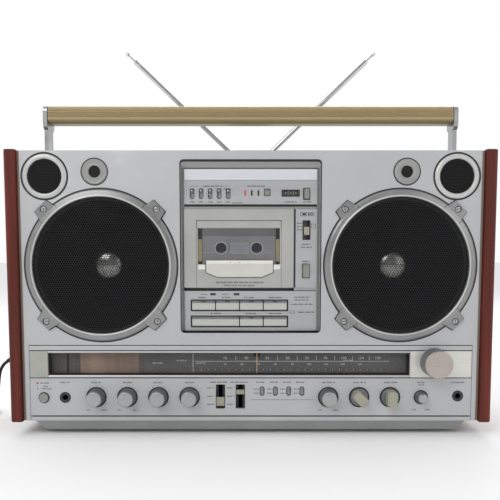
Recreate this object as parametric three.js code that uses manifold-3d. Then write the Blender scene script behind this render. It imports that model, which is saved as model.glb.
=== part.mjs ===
// A large two-speaker stereo radio cassette recorder with wooden sides, a folding handle,
// two telescopic antennas and a detachable mains lead.
//
// Millimetres. X runs to the right, Y from the front to the back, Z up.
// Inside the "recorder" group, y = 0 is the front of the silver face plate and z = 0 is its
// bottom edge. The group is then placed so that the floor is z = 0 and the origin is the
// centre of the footprint.

import * as THREE from "three";
import { mergeVertices } from "three/addons/utils/BufferGeometryUtils.js";
import Module from "manifold-3d";

const wasm = await Module();
wasm.setup();

// ---------------------------------------------------------------------------------------
// Driving dimensions
// ---------------------------------------------------------------------------------------

const GAP = 0.3; // running and fitting gap between neighbours
const FLOOR_TO_FACE = 20; // feet and plinth under the face plate
const FOOT_HEIGHT = 5;

const FACE = { halfWidth: 270, height: 320, thickness: 3 };
const CABINET = { halfWidth: 273, wall: 3.5, depth: 150, frontDepth: 28, flangeStep: 1.2 };
const SIDE_PANEL = { inner: 273.3, outer: 288, front: -4.5, bottom: -1, top: 321 };

const WOOFER = { x: 176.3, z: 186, hole: 82.5, ringOuter: 89.5, ringInner: 80, lug: 94 };
const TWEETER = { x: 240.8, z: 290.2, recess: 26.4, depth: 1.8 };
const MICROPHONE = { x: 182.3, z: 295.5, recess: 15.2, depth: 1.2 };

const DECK = { halfWidth: 82.4, bottom: 106.5, top: 307.5, frameBack: 6.7 };
const PANEL_FRONT = 5.2; // front of the raised panels inside the deck recess
const FASCIA = { front: 7, back: 9.5, halfWidth: 84, bottom: 103.5, top: 304 };
const DOOR = { left: -79.2, right: 51, bottom: 159.7, top: 252.9, front: 4.6, skin: 3.4 };
const WINDOW = { left: -62.6, right: 34.6, bottom: 187.1, top: 230.3 };
const REEL = { spacing: 42.5, x: -14, z: 206.9, front: 14.5 };

const DIAL = { left: -241.6, right: 189.7, bottom: 55.4, top: 82, scale: 11.5 };
const POINTER_X = 7.5;
const TUNING = { x: 218.7, z: 71, radius: 17.3, capRadius: 16.3, height: 20.5, base: -0.4 };

const CONTROL_Z = 28.7; // height of the row of knobs
const KNOB = { radius: 10.7, capRadius: 8.9, height: 14.4, well: 11.9, base: 0.4 };
const MIXING_KNOB = { radius: 7.2, capRadius: 5.4, height: 10.5, well: 8.2, base: 0.4 };
const WELL_DEPTH = 1.2;
const JACK = { recess: 6.3, hole: 4.5 };

const HANDLE = { pivotY: 70, pivotZ: 302, gripBottom: 365.5, gripTop: 387.3, gripEnd: 256.3 };
const ARM = { inner: 256.8, outer: 262, eye: 9, pin: 5 };
const POCKET = { inner: 255.8, outer: 263.4, front: 58, back: 121, bottom: 291 };

const ANTENNA = { x: 9, z: 328.8, y: 161, rise: 43.4, length: 215, radius: 3.5, tip: 230 };
const KNUCKLE = { radius: 7.5, front: 154.3, back: 166 };

const INLET = { y: 62, z: 66.9 };
const CORD_RADIUS = 2;

const REAR_MOST = KNUCKLE.back;
const FRONT_MOST = -TUNING.height;

// ---------------------------------------------------------------------------------------
// Solids
// ---------------------------------------------------------------------------------------

/** A closed geometry as a solid that can be joined and cut. */
function toSolid(geometry) {
  const bare = geometry.clone();
  bare.deleteAttribute("normal");
  bare.deleteAttribute("uv");
  const merged = mergeVertices(bare, 1e-4);
  const corners = merged.index.array;
  const kept = [];
  for (let i = 0; i < corners.length; i += 3) {
    const [a, b, c] = [corners[i], corners[i + 1], corners[i + 2]];
    if (a !== b && b !== c && c !== a) kept.push(a, b, c);
  }
  return new wasm.Manifold(new wasm.Mesh({
    numProp: 3,
    vertProperties: new Float32Array(merged.attributes.position.array),
    triVerts: new Uint32Array(kept),
  }));
}

function toGeometry(solid) {
  const mesh = solid.getMesh();
  const geometry = new THREE.BufferGeometry();
  geometry.setAttribute("position", new THREE.BufferAttribute(mesh.vertProperties, 3));
  geometry.setIndex(new THREE.BufferAttribute(mesh.triVerts, 1));
  geometry.computeVertexNormals();
  return geometry;
}

function joined(...solids) {
  return solids.reduce((whole, solid) => whole.add(solid));
}

function cut(solid, ...tools) {
  return tools.reduce((rest, tool) => rest.subtract(tool), solid);
}

function block(x0, x1, y0, y1, z0, z1) {
  const box = new THREE.BoxGeometry(x1 - x0, y1 - y0, z1 - z0);
  return toSolid(box.translate((x0 + x1) / 2, (y0 + y1) / 2, (z0 + z1) / 2));
}

/** A round bar along Y. */
function barY(radius, y0, y1, x, z, sides = 32) {
  const bar = new THREE.CylinderGeometry(radius, radius, y1 - y0, sides);
  return toSolid(bar.translate(x, (y0 + y1) / 2, z));
}

/** A round bar along X. */
function barX(radius, x0, x1, y, z, sides = 24) {
  const bar = new THREE.CylinderGeometry(radius, radius, x1 - x0, sides);
  return toSolid(bar.rotateZ(Math.PI / 2).translate((x0 + x1) / 2, y, z));
}

/** A body turned about the Y axis, from [radius, y] points listed from back to front. */
function turned(profile, sides) {
  const points = profile.map(([radius, y]) => new THREE.Vector2(radius, -y));
  return toSolid(new THREE.LatheGeometry(points, sides).rotateX(Math.PI));
}

function roundedRectangle(x0, x1, z0, z1, radius) {
  const shape = new THREE.Shape();
  shape.moveTo(x0 + radius, z0);
  shape.absarc(x1 - radius, z0 + radius, radius, -Math.PI / 2, 0);
  shape.absarc(x1 - radius, z1 - radius, radius, 0, Math.PI / 2);
  shape.absarc(x0 + radius, z1 - radius, radius, Math.PI / 2, Math.PI);
  shape.absarc(x0 + radius, z0 + radius, radius, Math.PI, 1.5 * Math.PI);
  return shape;
}

/** A plate with an (x, z) outline, from y0 back to y1. */
function plate(shape, y0, y1, curveSegments = 6) {
  const slab = new THREE.ExtrudeGeometry(shape, { depth: y1 - y0, bevelEnabled: false, curveSegments });
  return toSolid(slab.rotateX(Math.PI / 2).translate(0, y1, 0));
}

/** A bar with a (y, z) section, from x0 to x1. */
function profileBar(section, x0, x1, curveSegments = 6) {
  const bar = new THREE.ExtrudeGeometry(section, { depth: x1 - x0, bevelEnabled: false, curveSegments });
  const axes = [new THREE.Vector3(0, 1, 0), new THREE.Vector3(0, 0, 1), new THREE.Vector3(1, 0, 0)];
  return toSolid(bar.applyMatrix4(new THREE.Matrix4().makeBasis(...axes)).translate(x0, 0, 0));
}

function polygon(points) {
  return new THREE.Shape(points.map(([a, b]) => new THREE.Vector2(a, b)));
}

/** A straight-sided body between two outlines with the same number of points, along Z. */
function loft(lowerShape, lowerZ, upperShape, upperZ, curveSegments = 3) {
  const lower = outline(lowerShape, curveSegments);
  const upper = outline(upperShape, curveSegments);
  const count = lower.length;
  const positions = [];
  for (const { x, y } of lower) positions.push(x, y, lowerZ);
  for (const { x, y } of upper) positions.push(x, y, upperZ);
  const index = [];
  for (let i = 0; i < count; i++) {
    const next = (i + 1) % count;
    index.push(i, next, count + next);
    index.push(i, count + next, count + i);
  }
  for (const [a, b, c] of THREE.ShapeUtils.triangulateShape(lower, [])) {
    index.push(c, b, a);
    index.push(count + a, count + b, count + c);
  }
  const geometry = new THREE.BufferGeometry();
  geometry.setAttribute("position", new THREE.Float32BufferAttribute(positions, 3));
  geometry.setIndex(index);
  return geometry;
}

/** A shape's points, counter-clockwise, without the repeated last one. */
function outline(shape, curveSegments) {
  const points = shape.extractPoints(curveSegments).shape;
  if (points[0].distanceTo(points[points.length - 1]) < 1e-6) points.pop();
  return points;
}

// ---------------------------------------------------------------------------------------
// Cabinet
// ---------------------------------------------------------------------------------------

/** The places of the controls on the face plate, left to right. */
const TONE_KNOBS = [
  ["volume_knob", -185.1], ["balance_knob", -147.8], ["bass_knob", -110.5],
  ["treble_knob", -73.2], ["record_level_knob", 93],
];
const SELECTORS = [["function_selector", 130, -45], ["band_selector", 167, 0]];
const MIXING_X = 204;
const POWER = { x: -247.7, z: 28.1, radius: 5.6 };
const JACKS = [[-222.3, 28.3], [248.1, 30.1]];
const SLIDES = [
  { name: "noise_reduction_slide", x: -36.2, z: 23.4, height: 10.4 },
  { name: "tape_selector_slide", x: -12.4, z: 35, height: 5 },
];
const SLIDE_SLOT = { halfWidth: 5.5, bottom: 14.7, top: 44 };
const PANEL_SWITCHES = [0, 1, 2, 3].map((i) => ({ x: 13.7 + 15.9 * i, z: 36 }));
const DECK_SWITCHES = [0, 1, 2, 3, 4].map((i) => ({ x: -69 + 10.6 * i, z: 270.7 }));
const PANEL_SWITCH_SLOT = { halfWidth: 2.2, halfHeight: 5 };
const DECK_SWITCH_SLOT = { halfWidth: 2.1, halfHeight: 5.7 };

function switchSlot(place, slot, y0, y1) {
  const { halfWidth, halfHeight } = slot;
  const shape = roundedRectangle(place.x - halfWidth, place.x + halfWidth,
    place.z - halfHeight, place.z + halfHeight, halfWidth - 0.05);
  return plate(shape, y0, y1, 2);
}

/** A rectangle in plan with its four corners cut off. */
function cutCorners(halfFront, halfSide, front, corner) {
  const back = CABINET.depth - front;
  return polygon([
    [-halfFront, front], [halfFront, front], [halfSide, front + corner], [halfSide, back - corner],
    [halfFront, back], [-halfFront, back], [-halfSide, back - corner], [-halfSide, front + corner],
  ]);
}

/** The plinth under the cabinet: it slopes inwards on all sides, most at its corners. */
function plinth() {
  const height = FLOOR_TO_FACE - FOOT_HEIGHT;
  const solid = toSolid(loft(cutCorners(252, 262, 14, 16), -height, cutCorners(260, 265, 3, 7), 0.5));
  return cut(solid, block(-246, 246, 18, 134, -height + 3, 1));
}

/** The bevelled opening of the deck recess: a deep bevel above, shallow ones elsewhere. */
function deckOpening() {
  const { halfWidth, bottom, top, frameBack } = DECK;
  const front = roundedRectangle(-halfWidth, halfWidth, bottom, top, 4);
  const back = roundedRectangle(-halfWidth + 2.6, halfWidth - 2.6, bottom + 1, top - 7.5, 1.5);
  const bevel = loft(back, -frameBack, front, 0).rotateX(Math.PI / 2);
  const mouth = plate(front, -1, 0.05, 3);
  return toSolid(bevel).add(mouth).add(plate(back, frameBack - 0.05, frameBack + 1, 3));
}

function frontCabinet() {
  const { halfWidth, wall, frontDepth, flangeStep } = CABINET;
  const { height, thickness } = FACE;
  const face = block(-FACE.halfWidth, FACE.halfWidth, 0, thickness, 0, height);
  const shell = cut(
    block(-halfWidth, halfWidth, flangeStep, frontDepth, 0, height),
    block(-halfWidth + wall, halfWidth - wall, thickness, frontDepth + 1, wall, height - wall),
    block(-246, 246, 18, frontDepth + 1, -1, wall + 1),
  );
  const base = plinth().intersect(block(-300, 300, 0, frontDepth, -40, 1));
  const deckFrame = block(-86.5, 86.5, thickness - 0.5, DECK.frameBack, 103, 312);
  const trough = block(DIAL.left - 3.5, DIAL.right + 3.5, thickness - 0.5, DIAL.scale + 2.5,
    DIAL.bottom - 3, DIAL.top + 3);
  const chamber = block(DIAL.left - GAP, DIAL.right + GAP, -1, DIAL.scale,
    DIAL.bottom - GAP, DIAL.top + GAP);

  const openings = [deckOpening(), chamber];
  for (const side of [-1, 1]) {
    openings.push(barY(WOOFER.hole, -1, 10, side * WOOFER.x, WOOFER.z, 40));
    openings.push(barY(TWEETER.recess, -1, TWEETER.depth, side * TWEETER.x, TWEETER.z, 28));
    openings.push(barY(MICROPHONE.recess, -1, MICROPHONE.depth, side * MICROPHONE.x, MICROPHONE.z, 20));
  }
  for (const [, x] of [...TONE_KNOBS, ...SELECTORS]) {
    openings.push(barY(KNOB.well, -1, WELL_DEPTH, x, CONTROL_Z, 20), barY(4, -1, 10, x, CONTROL_Z, 8));
  }
  openings.push(barY(MIXING_KNOB.well, -1, WELL_DEPTH, MIXING_X, CONTROL_Z, 16));
  openings.push(barY(3.4, -1, 10, MIXING_X, CONTROL_Z, 8));
  openings.push(barY(4.8, -1, 10, TUNING.x, TUNING.z, 10));
  openings.push(barY(POWER.radius + 0.5, -1, 10, POWER.x, POWER.z, 16));
  for (const [x, z] of JACKS) {
    openings.push(barY(JACK.recess, -1, 0.8, x, z, 16), barY(JACK.hole, -1, 10, x, z, 12));
  }
  for (const { x } of SLIDES) {
    const { halfWidth: half, bottom, top } = SLIDE_SLOT;
    openings.push(block(x - half, x + half, -1, 10, bottom, top));
  }
  for (const place of PANEL_SWITCHES) openings.push(switchSlot(place, PANEL_SWITCH_SLOT, -1, 4));
  for (const z of [91.2, 84.9, 52, 5.6]) openings.push(block(-264, 264, -1, 0.7, z - 0.4, z + 0.4));
  return cut(joined(face, shell, base, deckFrame, trough), ...openings);
}

/** One handle pocket's block, which reaches from the cabinet's side into its top corner. */
function pocketBlock(side) {
  const { inner, front, back, bottom } = POCKET;
  const x = [side * (inner - 2.8), side * (CABINET.halfWidth - 0.5)].sort((a, b) => a - b);
  return block(...x, front - 3, back + 3, bottom - 3, FACE.height);
}

function pocketSpace(side) {
  const { inner, outer, front, back, bottom } = POCKET;
  const x = [side * inner, side * outer].sort((a, b) => a - b);
  const bore = [side * (inner - 4), side * (outer + 3.8)].sort((a, b) => a - b);
  return joined(
    block(...x, front, back, bottom, FACE.height + 1),
    barX(ARM.pin + 2 * GAP, ...bore, HANDLE.pivotY, HANDLE.pivotZ, 16),
  );
}

function rearCabinet() {
  const { halfWidth, wall, depth, frontDepth } = CABINET;
  const top = FACE.height;
  const shell = cut(
    block(-halfWidth, halfWidth, frontDepth + GAP, depth, 0, top),
    block(-halfWidth + wall, halfWidth - wall, frontDepth, depth - wall, wall, top - wall),
    block(-246, 246, frontDepth, 134, -1, wall + 1),
  );
  const base = plinth().intersect(block(-300, 300, frontDepth + GAP, 200, -40, 1));
  const feet = [];
  for (const x of [-215, 215]) {
    for (const y of [42, 118]) {
      const foot = new THREE.CylinderGeometry(11, 12, FOOT_HEIGHT + 1, 16).rotateX(-Math.PI / 2);
      feet.push(toSolid(foot.translate(x, y, -FLOOR_TO_FACE + (FOOT_HEIGHT + 1) / 2)));
    }
  }
  const antennaBracket = plate(roundedRectangle(-20, 20, 296, 338, 6), depth - 1, KNUCKLE.front - GAP);
  const inletSocket = block(-halfWidth + 1, -256, INLET.y - 11, INLET.y + 11, INLET.z - 11, INLET.z + 11);
  const solids = [shell, base, ...feet, antennaBracket, inletSocket, pocketBlock(-1), pocketBlock(1)];
  return cut(
    joined(...solids),
    pocketSpace(-1),
    pocketSpace(1),
    block(-150, 150, depth - 1.6, depth + 1, 28, 128),
    block(168, 244, depth - 1.6, depth + 1, 40, 100),
    barX(6.5, -halfWidth - 1, -260, INLET.y, INLET.z),
    barY(3.4, depth - 6, KNUCKLE.front + 1, -ANTENNA.x, ANTENNA.z, 20),
    barY(3.4, depth - 6, KNUCKLE.front + 1, ANTENNA.x, ANTENNA.z, 20),
  );
}

/** A wooden side panel, seen from above as an outline with a round front edge. */
function sidePanel(side) {
  const { inner, outer, front, bottom, top } = SIDE_PANEL;
  const back = CABINET.depth;
  const shape = new THREE.Shape();
  shape.moveTo(inner, back);
  shape.lineTo(inner, front + 2);
  shape.absarc(inner + 2, front + 2, 2, Math.PI, 1.5 * Math.PI);
  shape.absarc(outer - 6, front + 6, 6, -Math.PI / 2, 0);
  shape.absarc(outer - 3, back - 3, 3, 0, Math.PI / 2);
  const depth = top - bottom;
  const board = new THREE.ExtrudeGeometry(shape, { depth, bevelEnabled: false, curveSegments: 6 });
  const solid = toSolid(board.translate(0, 0, bottom));
  if (side > 0) return solid;
  const mirrored = solid.mirror([1, 0, 0]);
  return cut(mirrored, barX(7.4, -outer - 1, -inner + 1, INLET.y, INLET.z, 28));
}

// ---------------------------------------------------------------------------------------
// Loudspeakers
// ---------------------------------------------------------------------------------------

/** The trim ring with its four screw lugs, and the mesh inside it. */
function wooferGrille() {
  const { ringOuter, ringInner, lug } = WOOFER;
  const ring = turned([[ringInner - 2, -0.3], [ringOuter, -0.3], [ringOuter, -2.6],
    [ringOuter - 2, -4], [ringInner + 1.5, -4], [ringInner, -2.8], [0, -2.8], [0, -1.8],
    [ringInner - 2, -1.8], [ringInner - 2, -0.3]], 40);
  const lugs = [45, 135, 225, 315].map((angle) => {
    const ear = new THREE.CylinderGeometry(6.5, 6.5, 2.7, 12).translate(lug - 1, -1.65, 0);
    return toSolid(ear.rotateY(THREE.MathUtils.degToRad(angle)));
  });
  return joined(ring, ...lugs);
}

/** The driver: flange, windowed basket, cone with its dust cap, and magnet. */
function woofer() {
  const sides = 24;
  const body = turned([[0, 86], [48, 86], [48, 58], [80, 14], [88, 6.5], [88, 3.6], [78, 3.6],
    [74, 8.5], [68, 8.5], [18, 38], [10, 32.5], [0, 30.5]], sides);
  const hollow = turned([[22, 56], [46, 56], [76, 14], [72, 11.5], [20, 41.5], [22, 56]], sides);
  const windows = [0, 1].map((i) => {
    const bar = new THREE.BoxGeometry(200, 26, 34).translate(0, 36, 0).rotateY(i * Math.PI / 2);
    return toSolid(bar);
  });
  const core = barY(22, 30, 60, 0, 0, sides);
  const coneSpace = turned([[0, 40], [20, 41], [72, 12], [76, 5], [0, 5]], sides);
  return cut(body, hollow, ...windows.map((w) => cut(w, core, coneSpace)));
}

// ---------------------------------------------------------------------------------------
// Cassette deck
// ---------------------------------------------------------------------------------------

const KEY_ROWS = [
  { bottom: 133.3, height: 11, edges: [-70, -41.9, -13.3, 15, 43.2] },
  { bottom: 113.9, height: 11.1, edges: [-70, -13.3, 15, 43.2] },
];
const KEY_NAMES = [
  ["rewind_key", "play_key", "fast_forward_key", "record_key"],
  ["stop_key", "pause_key", "mute_key"],
];
const PUSH_BUTTONS = [
  { name: "memory_button", x: 19.6, z: 271.8, width: 5.6, height: 5.6, front: 4.4 },
  { name: "counter_reset_button", x: 66, z: 270.5, width: 5.9, height: 11.7, front: 2.2 },
  { name: "eject_button", x: 65.8, z: 179.8, width: 7.2, height: 15.5, front: 2.4 },
];
const TIMER_SLOT = { x: 66.1, halfWidth: 3.9, bottom: 217.3, top: 238.8 };

function deckFascia() {
  const { front, back, halfWidth, bottom, top } = FASCIA;
  const overlap = front + 0.5;
  const panels = [
    block(-78.4, 78.4, PANEL_FRONT - 0.5, overlap, 286.1, 299.4),
    block(-78.4, 78.4, PANEL_FRONT, overlap, 258.4, 286.2),
    block(53.3, 78.4, PANEL_FRONT, overlap, 159.9, 252.6),
    block(-78.2, 78.2, PANEL_FRONT, overlap, 108, 155.8),
  ];
  const openings = [block(DOOR.left - 0.5, DOOR.right + 0.6, 0, 12, 156.2, 254)];
  for (const row of KEY_ROWS) {
    const right = row.edges[row.edges.length - 1];
    const [low, high] = [row.bottom - 0.4, row.bottom + row.height + 0.4];
    openings.push(block(row.edges[0] - 0.4, right + 0.4, 0, 12, low, high));
  }
  for (const { x, z, width, height } of PUSH_BUTTONS) {
    const [half, tall] = [width / 2 + 0.35, height / 2 + 0.35];
    openings.push(block(x - half, x + half, 0, 12, z - tall, z + tall));
  }
  for (const place of DECK_SWITCHES) openings.push(switchSlot(place, DECK_SWITCH_SLOT, 0, 12));
  const slot = TIMER_SLOT;
  openings.push(block(slot.x - slot.halfWidth, slot.x + slot.halfWidth, 0, 12, slot.bottom, slot.top));
  const base = block(-halfWidth, halfWidth, front, back, bottom, top);
  return cut(joined(base, ...panels), ...openings);
}

/** The door's frame and window, with the cassette carrier behind them. */
function cassetteDoor() {
  const { left, right, bottom, top, front, skin } = DOOR;
  const frame = plate(roundedRectangle(left, right, bottom, top, 1.2), front, front + skin, 3);
  const carrier = cut(
    block(-68, 40, front + skin - 0.5, 21, 163.5, 226),
    block(-65, 37, front + skin - 1, 22, 166, 227),
  );
  const recess = block(-64.2, 36.2, front - 1, front + 1.1, WINDOW.top, 239.4);
  const windowSeat = block(WINDOW.left, WINDOW.right, front - 1, front + 1.6, WINDOW.bottom, WINDOW.top);
  return cut(joined(frame, carrier), recess, windowSeat);
}

/** A piano-type key: a bright lower face under a recessed ledge, on a long stem. */
function key(width, height) {
  const section = polygon([[3.4, 0], [2.6, 0.8], [2.6, height - 3], [4.2, height - 2.4],
    [4.2, height], [13, height], [13, 0]]);
  return profileBar(section, -width / 2, width / 2);
}

function pushButton(width, height, front) {
  const cap = plate(roundedRectangle(-width / 2, width / 2, -height / 2, height / 2, 0.8), front, 12, 3);
  const collar = block(-width / 2 - 1, width / 2 + 1, 11.5, 13, -height / 2 - 1, height / 2 + 1);
  return cap.add(collar);
}

/** The round power button, with a chamfered rim. */
function powerButton(radius) {
  return turned([[0, 10], [radius, 10], [radius, -2.4], [radius - 0.6, -3], [0, -3]], 24);
}

/** A small chrome lever, which turns about its own origin. */
function toggle() {
  return turned([[0, 3], [1.8, 2], [1.8, -0.6], [1.1, -4], [1.15, -8.4], [1.7, -10], [1.1, -12],
    [0, -12.3]], 8);
}

function reelSpindle() {
  const hub = turned([[0, 34], [2.6, 34], [2.6, 24], [6.3, 24], [6.3, 20.5], [3.3, 20.5],
    [2.2, REEL.front], [0, REEL.front]], 16);
  const fins = [0, 1, 2].map((i) => {
    const fin = new THREE.BoxGeometry(10.4, 4.4, 1.2).translate(0, 18, 0);
    return toSolid(fin.rotateY(i * Math.PI / 3));
  });
  return joined(hub, ...fins);
}

/** The inner chassis: deck mounting plate, mechanism block, motor, boards and transformer. */
function innerChassis() {
  const bay = [-78, 50];
  const backPlate = block(-82, 82, 27, 29, 100, 304);
  const mechanism = block(...bay, 29, 52, 150, 250);
  const motor = barY(16, 51, 80, 18, 176, 28);
  const flywheel = barY(26, 51, 58, -36, 196, 32);
  const shelf = block(-82, 82, 28, 128, 96, 99);
  const transformer = joined(block(-70, -14, 70, 122, 98, 140), block(-60, -24, 62, 130, 106, 132));
  const ampBoard = block(4, 80, 50, 52, 98, 146);
  const heatSink = joined(...[0, 1, 2, 3, 4, 5].map((i) => block(14 + i * 11, 17 + i * 11, 51, 74, 98, 142)));
  const stay = block(-82, -79, 28, 128, 98, 170);
  const bores = [-1, 1].map((side) => barY(3.2, 20, 40, REEL.x + side * REEL.spacing / 2, REEL.z, 20));
  return cut(
    joined(backPlate, mechanism, motor, flywheel, shelf, transformer, ampBoard, heatSink, stay),
    ...bores,
  );
}

// ---------------------------------------------------------------------------------------
// Tuner and controls
// ---------------------------------------------------------------------------------------

function dialWindow() {
  const { left, right, bottom, top } = DIAL;
  return plate(roundedRectangle(left, right, bottom, top, 0.6), 1, 3.4, 2);
}

function dialPointer() {
  return joined(block(-0.9, 0.9, 5.2, 6.6, DIAL.bottom + 1.6, DIAL.top - 1.2),
    block(-4, 4, 6.4, 9.6, DIAL.top - 5.6, DIAL.top - 1.2));
}

/** A turned knob with a bevelled cap, slightly tapered sides and its shaft. */
function knob({ radius, capRadius, height, base }, shaft) {
  const front = -height;
  return turned([[0, 10], [shaft, 10], [shaft, base], [radius, base], [radius, base - 1.4],
    [capRadius, front + 0.7], [capRadius - 0.8, front], [0, front]], 20);
}

/** A round skirt with a flat-sided finger bar standing on it. */
function selector() {
  const { radius, height, base } = KNOB;
  const skirt = turned([[0, 10], [3, 10], [3, base], [radius, base], [radius, -1], [radius - 1.2, -3],
    [0, -3]], 20);
  const bar = barY(9.4, -height, -2.5, 0, 0, 20).intersect(block(-5.6, 5.6, -40, 0, -10, 10));
  return skirt.add(bar);
}

function slideKnob(width, height, front, back) {
  const grip = block(-width / 2, width / 2, front, back, -height / 2, height / 2);
  const stem = block(-2, 2, back - 0.5, back + 6, -2, 2);
  return grip.add(stem);
}

// ---------------------------------------------------------------------------------------
// Handle
// ---------------------------------------------------------------------------------------

function handleGrip() {
  const { pivotY, gripBottom, gripTop, gripEnd } = HANDLE;
  const section = roundedRectangle(pivotY - 13, pivotY + 13, gripBottom, gripTop, 8);
  return profileBar(section, -gripEnd, gripEnd, 5);
}

/** A chrome arm: the bar below the grip, the cheek beside it, and the pivot pin. */
function handleArm(side) {
  const { pivotY, pivotZ, gripBottom, gripTop, gripEnd } = HANDLE;
  const bar = new THREE.Shape();
  bar.moveTo(pivotY - 8, gripBottom - GAP);
  bar.lineTo(pivotY - ARM.eye, pivotZ);
  bar.absarc(pivotY, pivotZ, ARM.eye, Math.PI, 2 * Math.PI);
  bar.lineTo(pivotY + 8, gripBottom - GAP);
  const cheek = roundedRectangle(pivotY - 13, pivotY + 13, gripBottom - 8, gripTop, 7);
  const arm = joined(
    profileBar(bar, ARM.inner, ARM.outer, 5),
    profileBar(cheek, gripEnd + GAP, ARM.outer, 3),
    barX(ARM.pin, POCKET.inner - 2.5, POCKET.outer + 3.4, pivotY, pivotZ, 16),
  );
  return side > 0 ? arm : arm.mirror([1, 0, 0]);
}

// ---------------------------------------------------------------------------------------
// Antennas. Each is made upright, its fold axis at the origin, then leaned outwards.
// ---------------------------------------------------------------------------------------

function antennaKnuckle() {
  const { radius, front, back } = KNUCKLE;
  const drum = barY(radius, front - ANTENNA.y, back - ANTENNA.y, 0, 0, 28);
  const slot = block(-2.3, 2.3, -4.2, 20, -4.4, 20);
  const spigot = barY(3, -16, front - ANTENNA.y + 1, 0, 0, 20);
  return joined(cut(drum, slot), spigot, barX(1.2, -3, 3, 0, 0, 12));
}

function antennaTube() {
  const { length, radius } = ANTENNA;
  const upright = (profile) => toSolid(new THREE.LatheGeometry(profile.map(([r, z]) =>
    new THREE.Vector2(r, z)), 16).rotateX(Math.PI / 2));
  const tube = upright([[0, 9.4], [4.2, 9.4], [4.2, 14], [radius, 15], [radius, length], [2.9, length],
    [2.9, 22], [0, 22]]);
  const tongue = joined(block(-1.9, 1.9, -3.4, 3.4, 0, 10), barX(3.4, -1.9, 1.9, 0, 0, 20));
  return cut(joined(tube, tongue), barX(1.5, -3, 3, 0, 0, 12));
}

/** The inner sections, stepped down towards the ball at the tip. */
function antennaRod() {
  const { length, tip } = ANTENNA;
  const profile = [[0, 24], [2.5, 24], [2.5, 88], [2, 89], [2, 152], [1.5, 153], [1.5, length + 12],
    [2.5, tip - 2.2], [2.8, tip], [1.8, tip + 2], [0, tip + 2.6]];
  const points = profile.map(([r, z]) => new THREE.Vector2(r, z));
  return toSolid(new THREE.LatheGeometry(points, 14).rotateX(Math.PI / 2));
}

// ---------------------------------------------------------------------------------------
// Mains lead
// ---------------------------------------------------------------------------------------

const SLEEVE = { x: -309, drop: 35, length: 12 }; // where the sleeve leaves the plug, and its slope

/** The free stretch, from the sleeve's end down to the floor and along it to the coil. */
const CORD_ROUTE = [
  [-319.2, 62, 59.7], [-322.3, 61.9, 57], [-325, 61.6, 53.3], [-327, 61.2, 49.1], [-328.1, 60.6, 43.9],
  [-329.2, 59.3, 32], [-330.3, 57.8, 19], [-331.6, 56.4, 3.9], [-333, 55.8, -2.2], [-335.8, 55.2, -7.8],
  [-340.1, 54.8, -12.4], [-345.4, 54.4, -15.8], [-351.3, 54.2, -17.6], [-356.5, 54, -18], [-365.2, 54, -18],
];

const COIL = { x: -383, y: 87.6, inner: 11.1, outer: 35.8, height: 8.2, lastTurn: 33.6 };

function inletPlug() {
  const along = (profile) => toSolid(new THREE.LatheGeometry(profile.map(([r, x]) =>
    new THREE.Vector2(r, x)), 20).rotateZ(Math.PI / 2));
  const body = along([[0, 262], [5.9, 262], [6.1, 292], [5.8, 302], [5, 308], [3.3, 312], [0, 313]]);
  const sleeve = along([[0, -4], [3.2, -4], [3.1, 2], [2.4, SLEEVE.length], [0, SLEEVE.length]]);
  const tilted = sleeve.rotate([0, -SLEEVE.drop, 0]).translate([SLEEVE.x, 0, 0]);
  return joined(body, tilted);
}

/** The cord's stretch, with a section of eight sides. */
function cordTube() {
  const route = CORD_ROUTE.map(([x, y, z]) => new THREE.Vector3(x, y, z));
  const section = new THREE.Shape().absarc(0, 0, CORD_RADIUS, 0, 2 * Math.PI);
  return new THREE.ExtrudeGeometry(section, {
    steps: 14,
    curveSegments: 4,
    extrudePath: new THREE.CatmullRomCurve3(route, false, "centripetal"),
  });
}

function cordCoil() {
  const { inner, outer, height } = COIL;
  const profile = [[inner, 0], [outer, 0], [outer, height], [inner, height], [inner, 0]];
  const points = profile.map(([r, z]) => new THREE.Vector2(r, z));
  return toSolid(new THREE.LatheGeometry(points, 32).rotateX(Math.PI / 2));
}

/** A flat two-pin plug with its own tapered sleeve, lying on the floor, pins along +Y. */
function mainsPlug() {
  const sleeve = turned([[2.4, 0], [2.6, 0], [4.2, 16], [0, 17], [0, 0], [2.4, 0]].reverse(), 16);
  const body = block(-9, 9, 15, 35, -6, 6);
  const pins = [-1, 1].map((side) => block(side * 6.35 - 0.75, side * 6.35 + 0.75, 34, 52, -3, 3));
  return joined(sleeve, body, ...pins);
}

// ---------------------------------------------------------------------------------------
// Assembly
// ---------------------------------------------------------------------------------------

const finish = (color, roughness, metalness = 0) => ({ color, roughness, metalness });
const SILVER = finish(0xbcbfc4, 0.42, 0.35);
const DARK_SILVER = finish(0x8f9296, 0.5, 0.3);
const WOOD = finish(0x6e2f22, 0.45);
const BLACK = finish(0x17181a, 0.6);
const CHROME = finish(0xd8dadd, 0.15, 1);
const SATIN = finish(0xc9ccce, 0.3, 0.8);
const CREAM = finish(0xc4c3b2, 0.45);
const GOLD = finish(0xa08f68, 0.4, 0.6);
const SMOKE = finish(0x3a3b3d, 0.15);
const ORANGE = finish(0xe0662a, 0.5);
const STEEL = finish(0x9a9da1, 0.4, 0.8);

const recorder = new THREE.Group();
recorder.name = "recorder";
recorder.position.set(0, -(REAR_MOST + FRONT_MOST) / 2, FLOOR_TO_FACE);

/** Adds one named sub-part with its own material, and returns it for placing. */
function addPart(name, shape, look, parent = recorder) {
  const geometry = shape.isBufferGeometry ? shape : toGeometry(shape);
  const mesh = new THREE.Mesh(geometry, new THREE.MeshStandardMaterial(look));
  mesh.name = name;
  parent.add(mesh);
  return mesh;
}

addPart("front_cabinet", frontCabinet(), SILVER);
addPart("rear_cabinet", rearCabinet(), DARK_SILVER);
addPart("side_panel_left", sidePanel(-1), WOOD);
addPart("side_panel_right", sidePanel(1), WOOD);

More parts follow.
